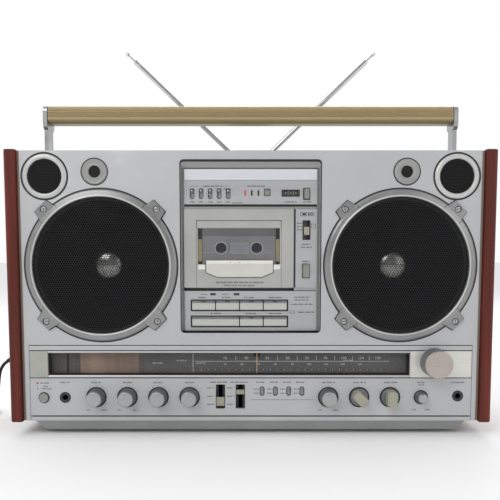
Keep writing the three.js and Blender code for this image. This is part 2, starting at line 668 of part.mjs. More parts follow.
for (const [side, word] of [[-1, "left"], [1, "right"]]) {
  addPart(`woofer_grille_${word}`, wooferGrille(), BLACK).position.set(side * WOOFER.x, 0, WOOFER.z);
  addPart(`woofer_${word}`, woofer(), BLACK).position.set(side * WOOFER.x, 0, WOOFER.z);
  addPart(`reel_spindle_${word}`, reelSpindle(), BLACK)
    .position.set(REEL.x + side * REEL.spacing / 2, 0, REEL.z);
}

addPart("inner_chassis", innerChassis(), STEEL);
addPart("deck_fascia", deckFascia(), SILVER);
addPart("cassette_door", cassetteDoor(), SILVER);

KEY_ROWS.forEach(({ bottom, height, edges }, row) => {
  KEY_NAMES[row].forEach((name, i) => {
    const width = edges[i + 1] - edges[i] - 2 * GAP;
    addPart(name, key(width, height), SATIN).position.set((edges[i] + edges[i + 1]) / 2, 0, bottom);
  });
});
for (const { name, x, z, width, height, front } of PUSH_BUTTONS) {
  addPart(name, pushButton(width, height, front), SATIN).position.set(x, 0, z);
}
addPart("timer_slide", slideKnob(6.4, 9.4, 2.8, 9.6), CREAM).position.set(TIMER_SLOT.x, 0, 227);

/** Places a lever behind its panel's front face, tilted up. */
function placeToggle(name, { x, z }, panelFront) {
  const lever = addPart(name, toggle(), CHROME);
  lever.position.set(x, panelFront + 8.6, z);
  lever.rotation.x = THREE.MathUtils.degToRad(-18);
}
DECK_SWITCHES.forEach((place, i) => placeToggle(`deck_switch_${i + 1}`, place, PANEL_FRONT));
PANEL_SWITCHES.forEach((place, i) => placeToggle(`panel_switch_${i + 1}`, place, 0));

addPart("dial_window", dialWindow(), SMOKE);
addPart("dial_pointer", dialPointer(), ORANGE).position.x = POINTER_X;
addPart("tuning_knob", knob(TUNING, 4), SATIN).position.set(TUNING.x, 0, TUNING.z);
for (const [name, x] of TONE_KNOBS) addPart(name, knob(KNOB, 3), SATIN).position.set(x, 0, CONTROL_Z);
for (const [name, x, turn] of SELECTORS) {
  const mesh = addPart(name, selector(), CREAM);
  mesh.position.set(x, 0, CONTROL_Z);
  mesh.rotation.y = THREE.MathUtils.degToRad(turn);
}
addPart("mixing_knob", knob(MIXING_KNOB, 2.6), SATIN).position.set(MIXING_X, 0, CONTROL_Z);
for (const { name, x, z, height } of SLIDES) {
  addPart(name, slideKnob(9.6, height, -1.8, 2.6), CREAM).position.set(x, 0, z);
}
addPart("power_button", powerButton(POWER.radius), SATIN).position.set(POWER.x, 0, POWER.z);

addPart("handle_grip", handleGrip(), GOLD);
addPart("handle_arm_left", handleArm(-1), CHROME);
addPart("handle_arm_right", handleArm(1), CHROME);

for (const [side, word] of [[-1, "left"], [1, "right"]]) {
  const antenna = new THREE.Group();
  antenna.position.set(side * ANTENNA.x, ANTENNA.y, ANTENNA.z);
  antenna.rotation.y = side * THREE.MathUtils.degToRad(90 - ANTENNA.rise);
  addPart(`antenna_knuckle_${word}`, antennaKnuckle(), CHROME, antenna);
  addPart(`antenna_tube_${word}`, antennaTube(), CHROME, antenna);
  addPart(`antenna_rod_${word}`, antennaRod(), CHROME, antenna);
  recorder.add(antenna);
}

addPart("inlet_plug", inletPlug(), BLACK).position.set(0, INLET.y, INLET.z);
addPart("mains_cord", cordTube(), BLACK);
addPart("cord_coil", cordCoil(), BLACK).position.set(COIL.x, COIL.y, -FLOOR_TO_FACE);
addPart("mains_plug", mainsPlug(), BLACK)
  .position.set(COIL.x - COIL.lastTurn, COIL.y + 19, -FLOOR_TO_FACE + 6);

export default recorder;
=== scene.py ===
"""Looks for a large stereo radio cassette recorder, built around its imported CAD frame.

Sizes are millimetres in the recorder's own directions (x to the right, y from the face plate
back, z up from the face plate's bottom edge). TO_FRAME turns them into frame metres.
"""
import math
import random

import bmesh
import bpy
from mathutils import Matrix, Vector
from mathutils.geometry import tessellate_polygon


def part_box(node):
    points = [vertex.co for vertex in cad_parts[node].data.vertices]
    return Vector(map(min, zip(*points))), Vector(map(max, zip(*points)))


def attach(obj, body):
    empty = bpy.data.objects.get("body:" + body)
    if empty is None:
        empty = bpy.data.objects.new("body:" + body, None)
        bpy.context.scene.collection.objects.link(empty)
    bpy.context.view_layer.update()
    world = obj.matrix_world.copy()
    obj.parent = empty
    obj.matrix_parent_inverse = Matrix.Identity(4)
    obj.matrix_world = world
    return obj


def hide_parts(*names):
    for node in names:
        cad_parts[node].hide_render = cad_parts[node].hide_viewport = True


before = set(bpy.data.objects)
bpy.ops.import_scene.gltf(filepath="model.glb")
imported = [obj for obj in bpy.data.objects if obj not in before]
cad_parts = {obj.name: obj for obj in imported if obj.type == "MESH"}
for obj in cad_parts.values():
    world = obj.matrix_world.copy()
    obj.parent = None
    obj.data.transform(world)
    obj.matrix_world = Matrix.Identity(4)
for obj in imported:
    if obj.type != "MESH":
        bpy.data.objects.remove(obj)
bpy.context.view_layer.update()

MM = 0.001

# ------------------------------------------------------------------------------------------
# Places, worked out from the frame
# ------------------------------------------------------------------------------------------

FACE_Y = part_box("front_cabinet")[0].y
FACE_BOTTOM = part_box("side_panel_right")[0].z + MM     # the wooden panels start 1 mm below it
TO_FRAME = Matrix.Translation((0, FACE_Y, FACE_BOTTOM)) @ Matrix.Scale(MM, 4)
FLOOR_Z = -FACE_BOTTOM / MM
SIDES = ((-1, "left"), (1, "right"))


def at(x, y, z):
    """A point given in the recorder's millimetres, in frame metres."""
    return TO_FRAME @ Vector((x, y, z))


def extent(node):
    """A CAD node's lowest and highest corners in the recorder's millimetres."""
    low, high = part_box(node)
    back = TO_FRAME.inverted()
    return back @ low, back @ high


def middle(node):
    """The (x, z) of a CAD node's middle, in the recorder's millimetres."""
    low, high = extent(node)
    return (low.x + high.x) / 2, (low.z + high.z) / 2


def rotation(degrees, axis):
    return Matrix.Rotation(math.radians(degrees), 4, axis)


def added(name, data):
    """A new object in the scene."""
    obj = bpy.data.objects.new(name, data)
    bpy.context.scene.collection.objects.link(obj)
    return obj


# ------------------------------------------------------------------------------------------
# Camera and light
# ------------------------------------------------------------------------------------------

CAMERA = {"x": -0.8, "y": -650.15, "z": 193.06, "tilt_down": 3.98, "lens": 39.6, "shift": 0.096}


def make_camera():
    data = bpy.data.cameras.new("camera")
    data.lens = CAMERA["lens"]
    data.sensor_width = 36
    data.shift_y = CAMERA["shift"]
    camera = added("camera", data)
    camera.location = at(CAMERA["x"], CAMERA["y"], CAMERA["z"])
    camera.rotation_euler = (math.radians(90 - CAMERA["tilt_down"]), 0, 0)
    bpy.context.scene.camera = camera


def area_light(name, place, target, size, power):
    data = bpy.data.lights.new(name, "AREA")
    data.shape = "RECTANGLE"
    data.size, data.size_y = size
    data.energy = power
    light = added(name, data)
    light.location = place
    light.rotation_euler = (Vector(target) - Vector(place)).to_track_quat("-Z", "Y").to_euler()


def make_world():
    """A pale studio, greyer below and dimmer in front, so that metal has edges."""
    world = bpy.data.worlds.new("studio")
    world.use_nodes = True
    nodes, links = world.node_tree.nodes, world.node_tree.links
    place = nodes.new("ShaderNodeTexCoord")
    split = nodes.new("ShaderNodeSeparateXYZ")
    ramp = nodes.new("ShaderNodeValToRGB")
    stops = ramp.color_ramp.elements
    stops[0].position, stops[0].color = 0.0, (0.35, 0.35, 0.36, 1)
    stops[1].position, stops[1].color = 0.52, (1.0, 1.0, 1.0, 1)
    horizon = stops.new(0.46)
    horizon.color = (0.9, 0.9, 0.9, 1)
    links.new(place.outputs["Generated"], split.inputs[0])
    height = nodes.new("ShaderNodeMapRange")
    height.inputs["From Min"].default_value = -1
    links.new(split.outputs["Z"], height.inputs["Value"])
    links.new(height.outputs["Result"], ramp.inputs["Fac"])
    depth = nodes.new("ShaderNodeMapRange")
    depth.inputs["From Min"].default_value = -0.75
    depth.inputs["From Max"].default_value = 0.05
    depth.inputs["To Min"].default_value = 0.42
    links.new(split.outputs["Y"], depth.inputs["Value"])
    background = nodes["Background"]
    links.new(ramp.outputs["Color"], background.inputs["Color"])
    links.new(depth.outputs["Result"], background.inputs["Strength"])
    bpy.context.scene.world = world


make_camera()
make_world()
bpy.context.scene.view_settings.view_transform = "Standard"
area_light("key", (-1.1, -1.7, 1.7), (0, 0, 0.2), (1.4, 1.0), 24)
area_light("fill", (1.5, -1.5, 0.9), (0, 0, 0.2), (1.2, 1.2), 7)
area_light("rim", (0.3, 1.6, 1.8), (0, 0, 0.2), (1.8, 0.8), 12)


# ------------------------------------------------------------------------------------------
# Materials
# ------------------------------------------------------------------------------------------

def rgb(red, green, blue):
    """An sRGB colour from 0 to 255, as linear values."""
    return tuple((c / 255 / 12.92) if c <= 10 else ((c / 255 + 0.055) / 1.055) ** 2.4
                 for c in (red, green, blue)) + (1.0,)


def shaded(colour, share):
    return tuple(min(1.0, c * share) for c in colour[:3]) + (1.0,)


def spread(tree, value, low, high):
    """A value from 0 to 1, spread between low and high."""
    node = tree.nodes.new("ShaderNodeMapRange")
    node.inputs["To Min"].default_value = low
    node.inputs["To Max"].default_value = high
    tree.links.new(value, node.inputs["Value"])
    return node.outputs["Result"]


def multiplied(tree, colour, share):
    node = tree.nodes.new("ShaderNodeMix")
    node.data_type = "RGBA"
    node.blend_type = "MULTIPLY"
    node.inputs["Factor"].default_value = 1.0
    tree.links.new(colour, node.inputs["A"])
    tree.links.new(share, node.inputs["B"])
    return node.outputs["Result"]


def surface(name, colour, roughness, metallic=0.0, mottle=0.05, spots=35, grain=0.03, grains=700,
            relief=0.05, stretch=(1, 1, 1), worn=None, coat=0.0, alpha=1.0, shine=0.5):
    """A procedural finish. Broad noise varies the colour, fine noise the gloss and relief.

    spots and grains count the noise's features in a metre, stretch draws them out as
    brushing does, and worn is a colour that shows through in patches.
    """
    material = bpy.data.materials.new(name)
    material.use_nodes = True
    nodes, links = material.node_tree.nodes, material.node_tree.links
    shader = nodes["Principled BSDF"]
    place = nodes.new("ShaderNodeTexCoord")
    mapping = nodes.new("ShaderNodeMapping")
    mapping.inputs["Scale"].default_value = stretch
    links.new(place.outputs["Object"], mapping.inputs["Vector"])

    def noise(scale, detail):
        node = nodes.new("ShaderNodeTexNoise")
        node.inputs["Scale"].default_value = scale
        node.inputs["Detail"].default_value = detail
        links.new(mapping.outputs["Vector"], node.inputs["Vector"])
        return node.outputs["Fac"]

    broad, fine = noise(spots, 4), noise(grains, 3)
    ramp = nodes.new("ShaderNodeValToRGB")
    dark, light = ramp.color_ramp.elements
    dark.position, dark.color = 0.35, shaded(colour, 1 - mottle)
    light.position, light.color = 0.65, shaded(colour, 1 + mottle)
    if worn:
        patch = ramp.color_ramp.elements.new(0.72)
        patch.color = worn
    links.new(broad, ramp.inputs["Fac"])
    speckle = spread(material.node_tree, fine, 1 - 2 * grain, 1 + grain)
    base = multiplied(material.node_tree, ramp.outputs["Color"], speckle)
    links.new(base, shader.inputs["Base Color"])
    gloss = spread(material.node_tree, broad, max(0.02, roughness - 0.08), min(1.0, roughness + 0.08))
    links.new(gloss, shader.inputs["Roughness"])
    bump = nodes.new("ShaderNodeBump")
    bump.inputs["Strength"].default_value = relief
    bump.inputs["Distance"].default_value = 0.0004
    links.new(fine, bump.inputs["Height"])
    links.new(bump.outputs["Normal"], shader.inputs["Normal"])
    shader.inputs["Metallic"].default_value = metallic
    shader.inputs["Coat Weight"].default_value = coat
    shader.inputs["Alpha"].default_value = alpha
    shader.inputs["Specular IOR Level"].default_value = shine
    return material


ALONG_X = (0.03, 1, 1)          # brushing and ribs that run along x
UPRIGHT = (1, 1, 0.045)         # grain that runs up

SILVER = surface("silver_paint", rgb(176, 177, 179), 0.45, 0.2, mottle=0.035, spots=9, grain=0.03,
                 worn=rgb(188, 190, 191))
SHELL = surface("shell_paint", rgb(142, 142, 141), 0.5, 0.2, mottle=0.05)
GREY = surface("grained_grey", rgb(112, 114, 117), 0.62, mottle=0.06, grain=0.08, relief=0.35)
TRIM = surface("bright_trim", rgb(186, 186, 184), 0.4, 0.35, grain=0.04, grains=900, stretch=ALONG_X)
BRUSHED = surface("brushed_block", rgb(208, 206, 200), 0.36, 0.4, grain=0.1, grains=1500,
                  relief=0.15, stretch=ALONG_X)
CREAM_BLOCK = surface("cream_block", rgb(160, 161, 153), 0.45, 0.2, mottle=0.05, spots=60)
RING = surface("speaker_ring", rgb(138, 139, 138), 0.36, 0.6, mottle=0.1, spots=25, grain=0.04)
BEVEL = surface("deck_bevel", rgb(152, 152, 150), 0.36, 0.5, mottle=0.08, spots=30, stretch=ALONG_X)
HEADER = surface("header_strip", rgb(200, 203, 208), 0.4, 0.15, grain=0.03, stretch=ALONG_X)
PANEL = surface("deck_panel", rgb(168, 169, 171), 0.42, 0.3, grain=0.04, grains=900, stretch=ALONG_X)
DOOR = surface("door_silver", rgb(166, 166, 163), 0.42, 0.25, mottle=0.05, spots=22,
               worn=rgb(176, 173, 160))
FLAP = surface("cream_flap", rgb(192, 192, 184), 0.42, mottle=0.04, spots=45)
KEY = surface("key_silver", rgb(184, 184, 180), 0.34, 0.35, mottle=0.05, spots=40, stretch=ALONG_X)
CREAM = surface("cream_knob", rgb(152, 150, 134), 0.42, mottle=0.06, spots=120)
SATIN = surface("satin_cap", rgb(164, 164, 164), 0.35, 0.6, mottle=0.03, spots=60, grain=0.02, relief=0.0)
PINK_SATIN = surface("tuning_cap", rgb(172, 162, 156), 0.34, 0.55, mottle=0.04, spots=50, grain=0.03,
                     relief=0.01)
KNOB_SIDE = surface("knob_side", rgb(116, 118, 120), 0.38, 0.6, mottle=0.08, spots=90)
CHROME = surface("chrome", rgb(196, 197, 199), 0.12, 1.0, mottle=0.05, spots=30, relief=0.02)
GOLD = surface("anodised_gold", rgb(166, 150, 114), 0.36, 0.45, mottle=0.08, spots=30, grain=0.08,
               grains=1200, stretch=ALONG_X)
BLACK = surface("black_plastic", rgb(22, 22, 23), 0.5, mottle=0.1, grain=0.06, relief=0.15)
MESH = surface("black_mesh", rgb(32, 32, 34), 0.5, 0.2, mottle=0.1, spots=60, shine=0.3)
PAPER = surface("cone_paper", rgb(8, 8, 8), 0.95, mottle=0.15, spots=120, grain=0.2, relief=0.4, shine=0.05)
FOAM = surface("surround", rgb(8, 8, 8), 0.95, mottle=0.1, spots=80, relief=0.3, shine=0.05)
DOME = surface("metal_dome", rgb(190, 189, 186), 0.2, 0.95, mottle=0.08, spots=80)
BASKET = surface("basket_metal", rgb(70, 72, 74), 0.5, 0.7, mottle=0.12, spots=40)
STEEL = surface("plated_steel", rgb(150, 152, 154), 0.34, 0.85, mottle=0.08, spots=30, grain=0.05)
SMOKE = surface("smoked_glass", rgb(24, 25, 26), 0.06, mottle=0.03, grain=0.0, relief=0.0, alpha=0.14)
DIAL = surface("dial_plate", rgb(108, 108, 107), 0.6, mottle=0.08, spots=12, grain=0.0, relief=0.0)
DIAL_WARM = surface("dial_warm", rgb(168, 142, 126), 0.5, mottle=0.3, spots=34, grain=0.0,
                    relief=0.0, stretch=(1, 1, 0.1))
DIAL_BROWN = surface("dial_brown", rgb(104, 98, 94), 0.55, mottle=0.14, spots=30, grain=0.0,
                     relief=0.0, stretch=(1, 1, 0.1))
BUTTON = surface("button_grey", rgb(136, 136, 132), 0.4, 0.3, mottle=0.06, spots=60)
PLINTH = surface("plinth_grey", rgb(148, 150, 149), 0.5, 0.15, mottle=0.06, spots=14)
# a darker carrier grey, painted shadow under the door band
CARRIER_SHADOW_PAINT = surface("carrier_painted_shadow", rgb(86, 85, 86), 0.5, mottle=0.1, spots=30)
NAVY = surface("reel_hub", rgb(24, 26, 34), 0.4, mottle=0.1, spots=200)
CARRIER = surface("carrier", rgb(104, 104, 106), 0.5, mottle=0.1, spots=30)
TAPE_WINDOW = surface("tape_window", rgb(112, 115, 121), 0.3, mottle=0.1, spots=60)
KHAKI = surface("guide_khaki", rgb(122, 112, 86), 0.5, mottle=0.1, spots=90)
WHITE = surface("white_plastic", rgb(214, 214, 208), 0.42, mottle=0.03)
ORANGE = surface("pointer_orange", rgb(236, 196, 158), 0.5, mottle=0.03)
RED = surface("red_lamp", rgb(196, 54, 66), 0.25, mottle=0.08, spots=400, coat=0.6)
INK = surface("ink", rgb(44, 46, 50), 0.6, mottle=0.15, spots=300)
PALE_INK = surface("pale_ink", rgb(226, 228, 228), 0.6, mottle=0.1, spots=300)
NUT = surface("socket_nut", rgb(62, 63, 64), 0.4, 0.6, mottle=0.08, spots=90)
ARM_METAL = surface("arm_metal", rgb(166, 167, 168), 0.3, 0.85, mottle=0.12, spots=45, grain=0.06,
                    relief=0.03)
SEAM = surface("seam_brown", rgb(116, 102, 90), 0.5, mottle=0.1, spots=30, stretch=UPRIGHT)
DIM_INK = surface("dim_ink", rgb(150, 150, 147), 0.6, mottle=0.1, spots=300)
RUBBER = surface("rubber", rgb(20, 20, 21), 0.62, mottle=0.12, spots=150, grain=0.12, relief=0.25)


def wood():
    """Satin mahogany: upright grain from stretched noise and a wave bent by it."""
    material = surface("mahogany", rgb(94, 35, 26), 0.48, mottle=0.26, spots=110, grain=0.16,
                       grains=1600, relief=0.2, stretch=UPRIGHT, shine=0.25)
    nodes, links = material.node_tree.nodes, material.node_tree.links
    wave = nodes.new("ShaderNodeTexWave")
    wave.bands_direction = "DIAGONAL"
    wave.inputs["Scale"].default_value = 26
    wave.inputs["Distortion"].default_value = 5
    wave.inputs["Detail"].default_value = 3
    mapping = next(n for n in nodes if n.type == "MAPPING")
    links.new(mapping.outputs["Vector"], wave.inputs["Vector"])
    base = nodes["Principled BSDF"].inputs["Base Color"]
    stripes = spread(material.node_tree, wave.outputs["Fac"], 0.8, 1.12)
    links.new(multiplied(material.node_tree, base.links[0].from_socket, stripes), base)
    return material


WOOD = wood()
FLOOR = surface("pale_floor", rgb(250, 250, 250), 1.0, mottle=0.004, spots=3, grain=0.002,
                relief=0.01, shine=0.0)


# ------------------------------------------------------------------------------------------
# Mesh makers. Each adds to a bmesh, in the recorder's millimetres, and returns it.
# ------------------------------------------------------------------------------------------

def circle(x, z, radius, count=96, start=0.0):
    step = 2 * math.pi / count
    return [(x + radius * math.cos(start + i * step), z + radius * math.sin(start + i * step))
            for i in range(count)]


def rectangle(x0, x1, z0, z1, radius=0.0, steps=5):
    """A rectangle's outline, counter-clockwise, with round corners if it has a radius."""
    if radius == 0:
        return [(x0, z0), (x1, z0), (x1, z1), (x0, z1)]
    points = []
    corners = ((x1 - radius, z0 + radius, -90), (x1 - radius, z1 - radius, 0),
               (x0 + radius, z1 - radius, 90), (x0 + radius, z0 + radius, 180))
    for cx, cz, first in corners:
        for i in range(steps + 1):
            a = math.radians(first + 90 * i / steps)
            points.append((cx + radius * math.cos(a), cz + radius * math.sin(a)))
    return points


def inset(points, amount):
    """A counter-clockwise outline moved inwards by amount, its corners mitred."""
    moved = []
    count = len(points)
    for i, (x, z) in enumerate(points):
        before = Vector((x - points[i - 1][0], z - points[i - 1][1])).normalized()
        after = Vector((points[(i + 1) % count][0] - x, points[(i + 1) % count][1] - z)).normalized()
        normal = Vector((-before.y - after.y, before.x + after.x)).normalized()
        reach = amount / max(0.3, normal.dot(Vector((-before.y, before.x))))
        moved.append((x + normal.x * reach, z + normal.y * reach))
    return moved


def centred(x, z, half, tall, radius=0.0):
    """A rectangle's outline around its middle."""
    return rectangle(x - half, x + half, z - tall, z + tall, radius)


def skin(bm, rings):
    """Faces between each closed ring of vertices and the next."""
    for ring, following in zip(rings, rings[1:]):
        for i in range(len(ring)):
            j = (i + 1) % len(ring)
            bm.faces.new((ring[i], ring[j], following[j], following[i]))


def fill(bm, loops, across):
    """Closes a flat outline, the other loops being its holes. across is 0 for x, 1 for y."""
    flat = [[Vector((v.co[across], v.co.z, 0)) for v in loop] for loop in loops]
    verts = [v for loop in loops for v in loop]
    for corners in tessellate_polygon(flat):
        bm.faces.new([verts[i] for i in corners])


def moved_in(target, source, placing):
    """Adds one bmesh's faces to another, moved by a matrix."""
    source.transform(placing)
    mesh = bpy.data.meshes.new("moved")
    source.to_mesh(mesh)
    source.free()
    target.from_mesh(mesh)
    bpy.data.meshes.remove(mesh)


def slab(outline, y0, y1, holes=(), edge=0.4, steps=2, round_back=False, bm=None):
    """A plate with an (x, z) outline and holes, its front (or back) edges rounded."""
    bm = bm or bmesh.new()
    loops = [(outline, 1)] + [(hole, -1) for hole in holes]
    stages = []
    for i in range(steps + 1):
        a = math.radians(90 * i / steps)
        stages.append((edge * (1 - math.sin(a)), y0 + edge * (1 - math.cos(a))))
    stages.append((0, y1))
    if round_back:
        stages = [(move, y0 + y1 - y) for move, y in stages]
    rings = []
    for points, sign in loops:
        rings.append([[bm.verts.new((x, y, z)) for x, z in inset(points, sign * move)]
                      for move, y in stages])
    for loop in rings:
        skin(bm, loop)
    for end in (0, -1):
        fill(bm, [loop[end] for loop in rings], 0)
    return bm


def turned(profile, x=0.0, z=0.0, segments=96, bm=None):
    """A body turned about the y direction through (x, z), from (radius, y) points."""
    bm = bm or bmesh.new()
    closed = profile[0] == profile[-1]
    rings = []
    for radius, y in profile[:-1] if closed else profile:
        if radius < 1e-6:
            rings.append([bm.verts.new((x, y, z))])
        else:
            rings.append([bm.verts.new((px, y, pz)) for px, pz in circle(x, z, radius, segments)])
    if closed:
        rings.append(rings[0])
    for ring, following in zip(rings, rings[1:]):
        for i in range(segments):
            j = i + 1
            corners = [ring[i % len(ring)], ring[j % len(ring)],
                       following[j % len(following)], following[i % len(following)]]
            corners = list(dict.fromkeys(corners))
            if len(corners) > 2:
                bm.faces.new(corners)
    return bm


def bar(section, x0, x1, edge=0.5, bm=None):
    """A bar along x with a (y, z) section and slightly rounded ends."""
    bm = bm or bmesh.new()
    stages = ((edge, x0), (edge * 0.3, x0 + edge * 0.3), (0, x0 + edge),
              (0, x1 - edge), (edge * 0.3, x1 - edge * 0.3), (edge, x1))
    rings = [[bm.verts.new((x, y, z)) for y, z in inset(section, move)] for move, x in stages]
    skin(bm, rings)
    for ring in (rings[0], rings[-1]):
        fill(bm, [ring], 1)
    return bm


def honeycomb(x, z, radius, y, pitch, hole, depth):
    """A pierced sheet: hexagonal cells, each with a hexagonal hole, inside a circle."""
    verts, faces = [], []
    row_step = pitch * math.sqrt(3) / 2
    rows = int(radius / row_step) + 1
    outer, inner = pitch / math.sqrt(3), hole / math.sqrt(3)
    ring = [(math.cos(math.radians(60 * k + 30)), math.sin(math.radians(60 * k + 30))) for k in range(6)]
    for row in range(-rows, rows + 1):
        shift = pitch / 2 if row % 2 else 0
        for column in range(-rows - 1, rows + 2):
            cx, cz = column * pitch + shift, row * row_step
            if math.hypot(cx, cz) > radius:
                continue
            first = len(verts)
            verts += [(x + cx + outer * a, y, z + cz + outer * b) for a, b in ring]
            verts += [(x + cx + inner * a, y, z + cz + inner * b) for a, b in ring]
            verts += [(x + cx + inner * a, y + depth, z + cz + inner * b) for a, b in ring]
            for k in range(6):
                n = (k + 1) % 6
                faces.append((first + k, first + n, first + 6 + n, first + 6 + k))
                faces.append((first + 6 + k, first + 6 + n, first + 12 + n, first + 12 + k))
    mesh = bpy.data.meshes.new("cells")
    mesh.from_pydata(verts, [], faces)
    bm = bmesh.new()
    bm.from_mesh(mesh)
    bpy.data.meshes.remove(mesh)
    bmesh.ops.remove_doubles(bm, verts=bm.verts, dist=0.01)
    return bm


# ------------------------------------------------------------------------------------------
# Pieces
# ------------------------------------------------------------------------------------------

def piece(name, bm, look, body="root", stands_for=(), smooth=35,
          placed=True):
    """A finished object from a bmesh: shaded, given its material, and riding on its body."""
    bmesh.ops.recalc_face_normals(bm, faces=bm.faces)
    mesh = bpy.data.meshes.new(name)
    bm.to_mesh(mesh)
    bm.free()
    if placed:
        mesh.transform(TO_FRAME)
    mesh.shade_smooth()
    mesh.set_sharp_from_angle(angle=math.radians(smooth))
    mesh.materials.append(look)
    obj = added(name, mesh)
    weighted = obj.modifiers.new("even_shading", "WEIGHTED_NORMAL")
    weighted.keep_sharp = True
    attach(obj, body)
    if stands_for:
        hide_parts(*stands_for)
    return obj


def refined(node, look, body, edge=0.4, segments=2, angle=32):
    """A CAD node's own shape with its edges rounded, as the piece that stands for it."""
    bm = bmesh.new()
    bm.from_mesh(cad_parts[node].data)
    bmesh.ops.remove_doubles(bm, verts=bm.verts, dist=2e-6)
    bmesh.ops.dissolve_limit(bm, angle_limit=math.radians(0.5), verts=bm.verts, edges=bm.edges)
    obj = piece(node + "_finished", bm, look, body, (node,), placed=False)
    bevel = obj.modifiers.new("edges", "BEVEL")
    bevel.width = edge * MM
    bevel.segments = segments
    bevel.limit_method = "ANGLE"
    bevel.angle_limit = math.radians(angle)
    obj.modifiers.move(1, 0)
    return obj


def plate(name, corners, y0, y1, look, slot="black_plastic", body="root", holes=(), **rounding):
    """A piece that is one plate. corners holds x0, x1, z0, z1 and, if it has one, a radius."""
    piece(name, slab(rectangle(*corners), y0, y1, holes, **rounding), look, body)


# ------------------------------------------------------------------------------------------
# Mains lead
# ------------------------------------------------------------------------------------------

CORD = {"diameter": 4.0, "length": 1.5}
CORD_ROUTE = [
    (-319.2, 62, 59.7), (-322.3, 61.9, 57), (-325, 61.6, 53.3), (-327, 61.2, 49.1), (-328.1, 60.6, 43.9),
    (-329.2, 59.3, 32), (-330.3, 57.8, 19), (-331.6, 56.4, 3.9), (-333, 55.8, -2.2), (-335.8, 55.2, -7.8),
    (-340.1, 54.8, -12.4), (-345.4, 54.4, -15.8), (-351.3, 54.2, -17.6), (-356.5, 54, -18), (-365.2, 54, -18),
]
COIL = {"outer": 33.6, "inner": 13.1, "turns": 9.25, "points": 16}


def coil_points(x, y, floor):
    """Two layers of turns: inwards along the floor, then outwards on top of it."""
    steps = int(COIL["turns"] * COIL["points"])
    low, high = floor + CORD["diameter"] / 2, floor + 1.5 * CORD["diameter"]
    points = []
    for i in range(1, steps + 1):
        share = i / steps
        inwards = 1 - abs(1 - 2 * share)
        radius = COIL["outer"] - (COIL["outer"] - COIL["inner"]) * inwards
        rise = min(1.0, max(0.0, (share - 0.47) / 0.06))
        height = low + (high - low) * rise * rise * (3 - 2 * rise)
        angle = math.radians(-90 - 360 * COIL["turns"] * share)
        points.append((x + radius * math.cos(angle), y + radius * math.sin(angle), height))
    return points


def mains_lead():
    """The free cord, its coil, the tie around the coil and both plugs."""
    low, high = extent("cord_coil")
    x, y = (low.x + high.x) / 2, (low.y + high.y) / 2
    plug_low, plug_high = extent("mains_plug")
    points = CORD_ROUTE + [(x, y - COIL["outer"], FLOOR_Z + CORD["diameter"] / 2)]
    points += coil_points(x, y, FLOOR_Z)
    end = points[-1]
    points += [(end[0], end[1] + 9, end[2]), (end[0], plug_low.y + 0.5, end[2])]
    curve = bpy.data.curves.new("mains_lead", "CURVE")
    curve.dimensions = "3D"
    curve.bevel_depth = CORD["diameter"] / 2 * MM
    curve.bevel_resolution = 5
    curve.resolution_u = 4
    curve.use_fill_caps = True
    spline = curve.splines.new("BEZIER")
    spline.bezier_points.add(len(points) - 1)
    for knot, point in zip(spline.bezier_points, points):
        knot.co = at(*point)
        knot.handle_left_type = knot.handle_right_type = "AUTO"
    curve.materials.append(RUBBER)
    cord = added("mains_lead", curve)
    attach(cord, "root")
    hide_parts("mains_cord", "cord_coil")

    inlet = inlet_connector()
    plug = refined("mains_plug", BLACK, "root", edge=1.2, segments=3)
    tie = coil_tie(x, y, high.z)


def coil_tie(x, y, top):
    """A flat rubber band round the coil's section, at its right and a little to the back."""
    low, high = extent("cord_coil")
    outer = (high.x - low.x) / 2
    inner = COIL["inner"] - CORD["diameter"] / 2
    section = rectangle(inner - 0.9, outer + 0.9, FLOOR_Z + 0.1, top + 1.0, 1.6)
    hole = rectangle(inner - 0.1, outer + 0.1, FLOOR_Z + 0.7, top + 0.2, 1.2)
    bm = slab(section, -3, 3, [hole], edge=0.3)
    bm.transform(Matrix.Translation((x, y, 0)) @ rotation(25, "Z"))
    return piece("coil_tie", bm, RUBBER)


def inlet_connector():
    """The moulded connector in the side inlet, with its ribbed sleeve."""
    y, z = 62.0, 66.9
    body = [(0, -262), (5.9, -262), (6.1, -292), (6.35, -293), (6.35, -296), (6.0, -297),
            (5.8, -302), (5, -308), (3.3, -312), (0, -313)]
    bm = turned(body, 0, 0, 48)
    bm.transform(Matrix.Translation((0, y, z)) @ rotation(-90, "Z"))
    sleeve = [(0, -4), (3.2, -4)]
    for i in range(5):
        start = -1 + 2.4 * i
        radius = 3.15 - 0.15 * i
        sleeve += [(radius, start), (radius, start + 1.5), (radius - 0.5, start + 1.7),
                   (radius - 0.5, start + 2.3)]
    sleeve += [(2.4, 12), (0, 12)]
    slope = rotation(-35, "Y") @ rotation(90, "Z")
    moved_in(bm, turned(sleeve, 0, 0, 32), Matrix.Translation((-309, y, z)) @ slope)
    return piece("inlet_connector", bm, BLACK, stands_for=("inlet_plug",))


# ------------------------------------------------------------------------------------------
# Cabinet, face plate and wooden sides
# ------------------------------------------------------------------------------------------

WOOFER = {"x": 176.3, "z": 186, "hole": 82.5, "inner": 80}
TWEETER = {"x": 240.8, "z": 290.2, "recess": 26.4}
MICROPHONE = {"x": 182.3, "z": 295.5, "recess": 15.2}
DECK = {"half": 82.4, "bottom": 106.5, "top": 307.5}
STRIP_HALF = 263.9
SKIN = -0.4                     # front of the finished face, just proud of the CAD plate
WINDOW_LOW, WINDOW_HIGH = extent("dial_window")
TUNING = middle("tuning_knob")
ROUND_CONTROLS = ["volume_knob", "balance_knob", "bass_knob", "treble_knob", "record_level_knob",
                  "function_selector", "band_selector"]
SLIDES = ["noise_reduction_slide", "tape_selector_slide"]
PANEL_LEVERS = [f"panel_switch_{i}" for i in range(1, 5)]
DECK_LEVERS = [f"deck_switch_{i}" for i in range(1, 6)]
JACKS = ((-222.3, 28.3), (248.1, 30.1))
SLOT = {"half": 5.5, "bottom": 14.7, "top": 44}
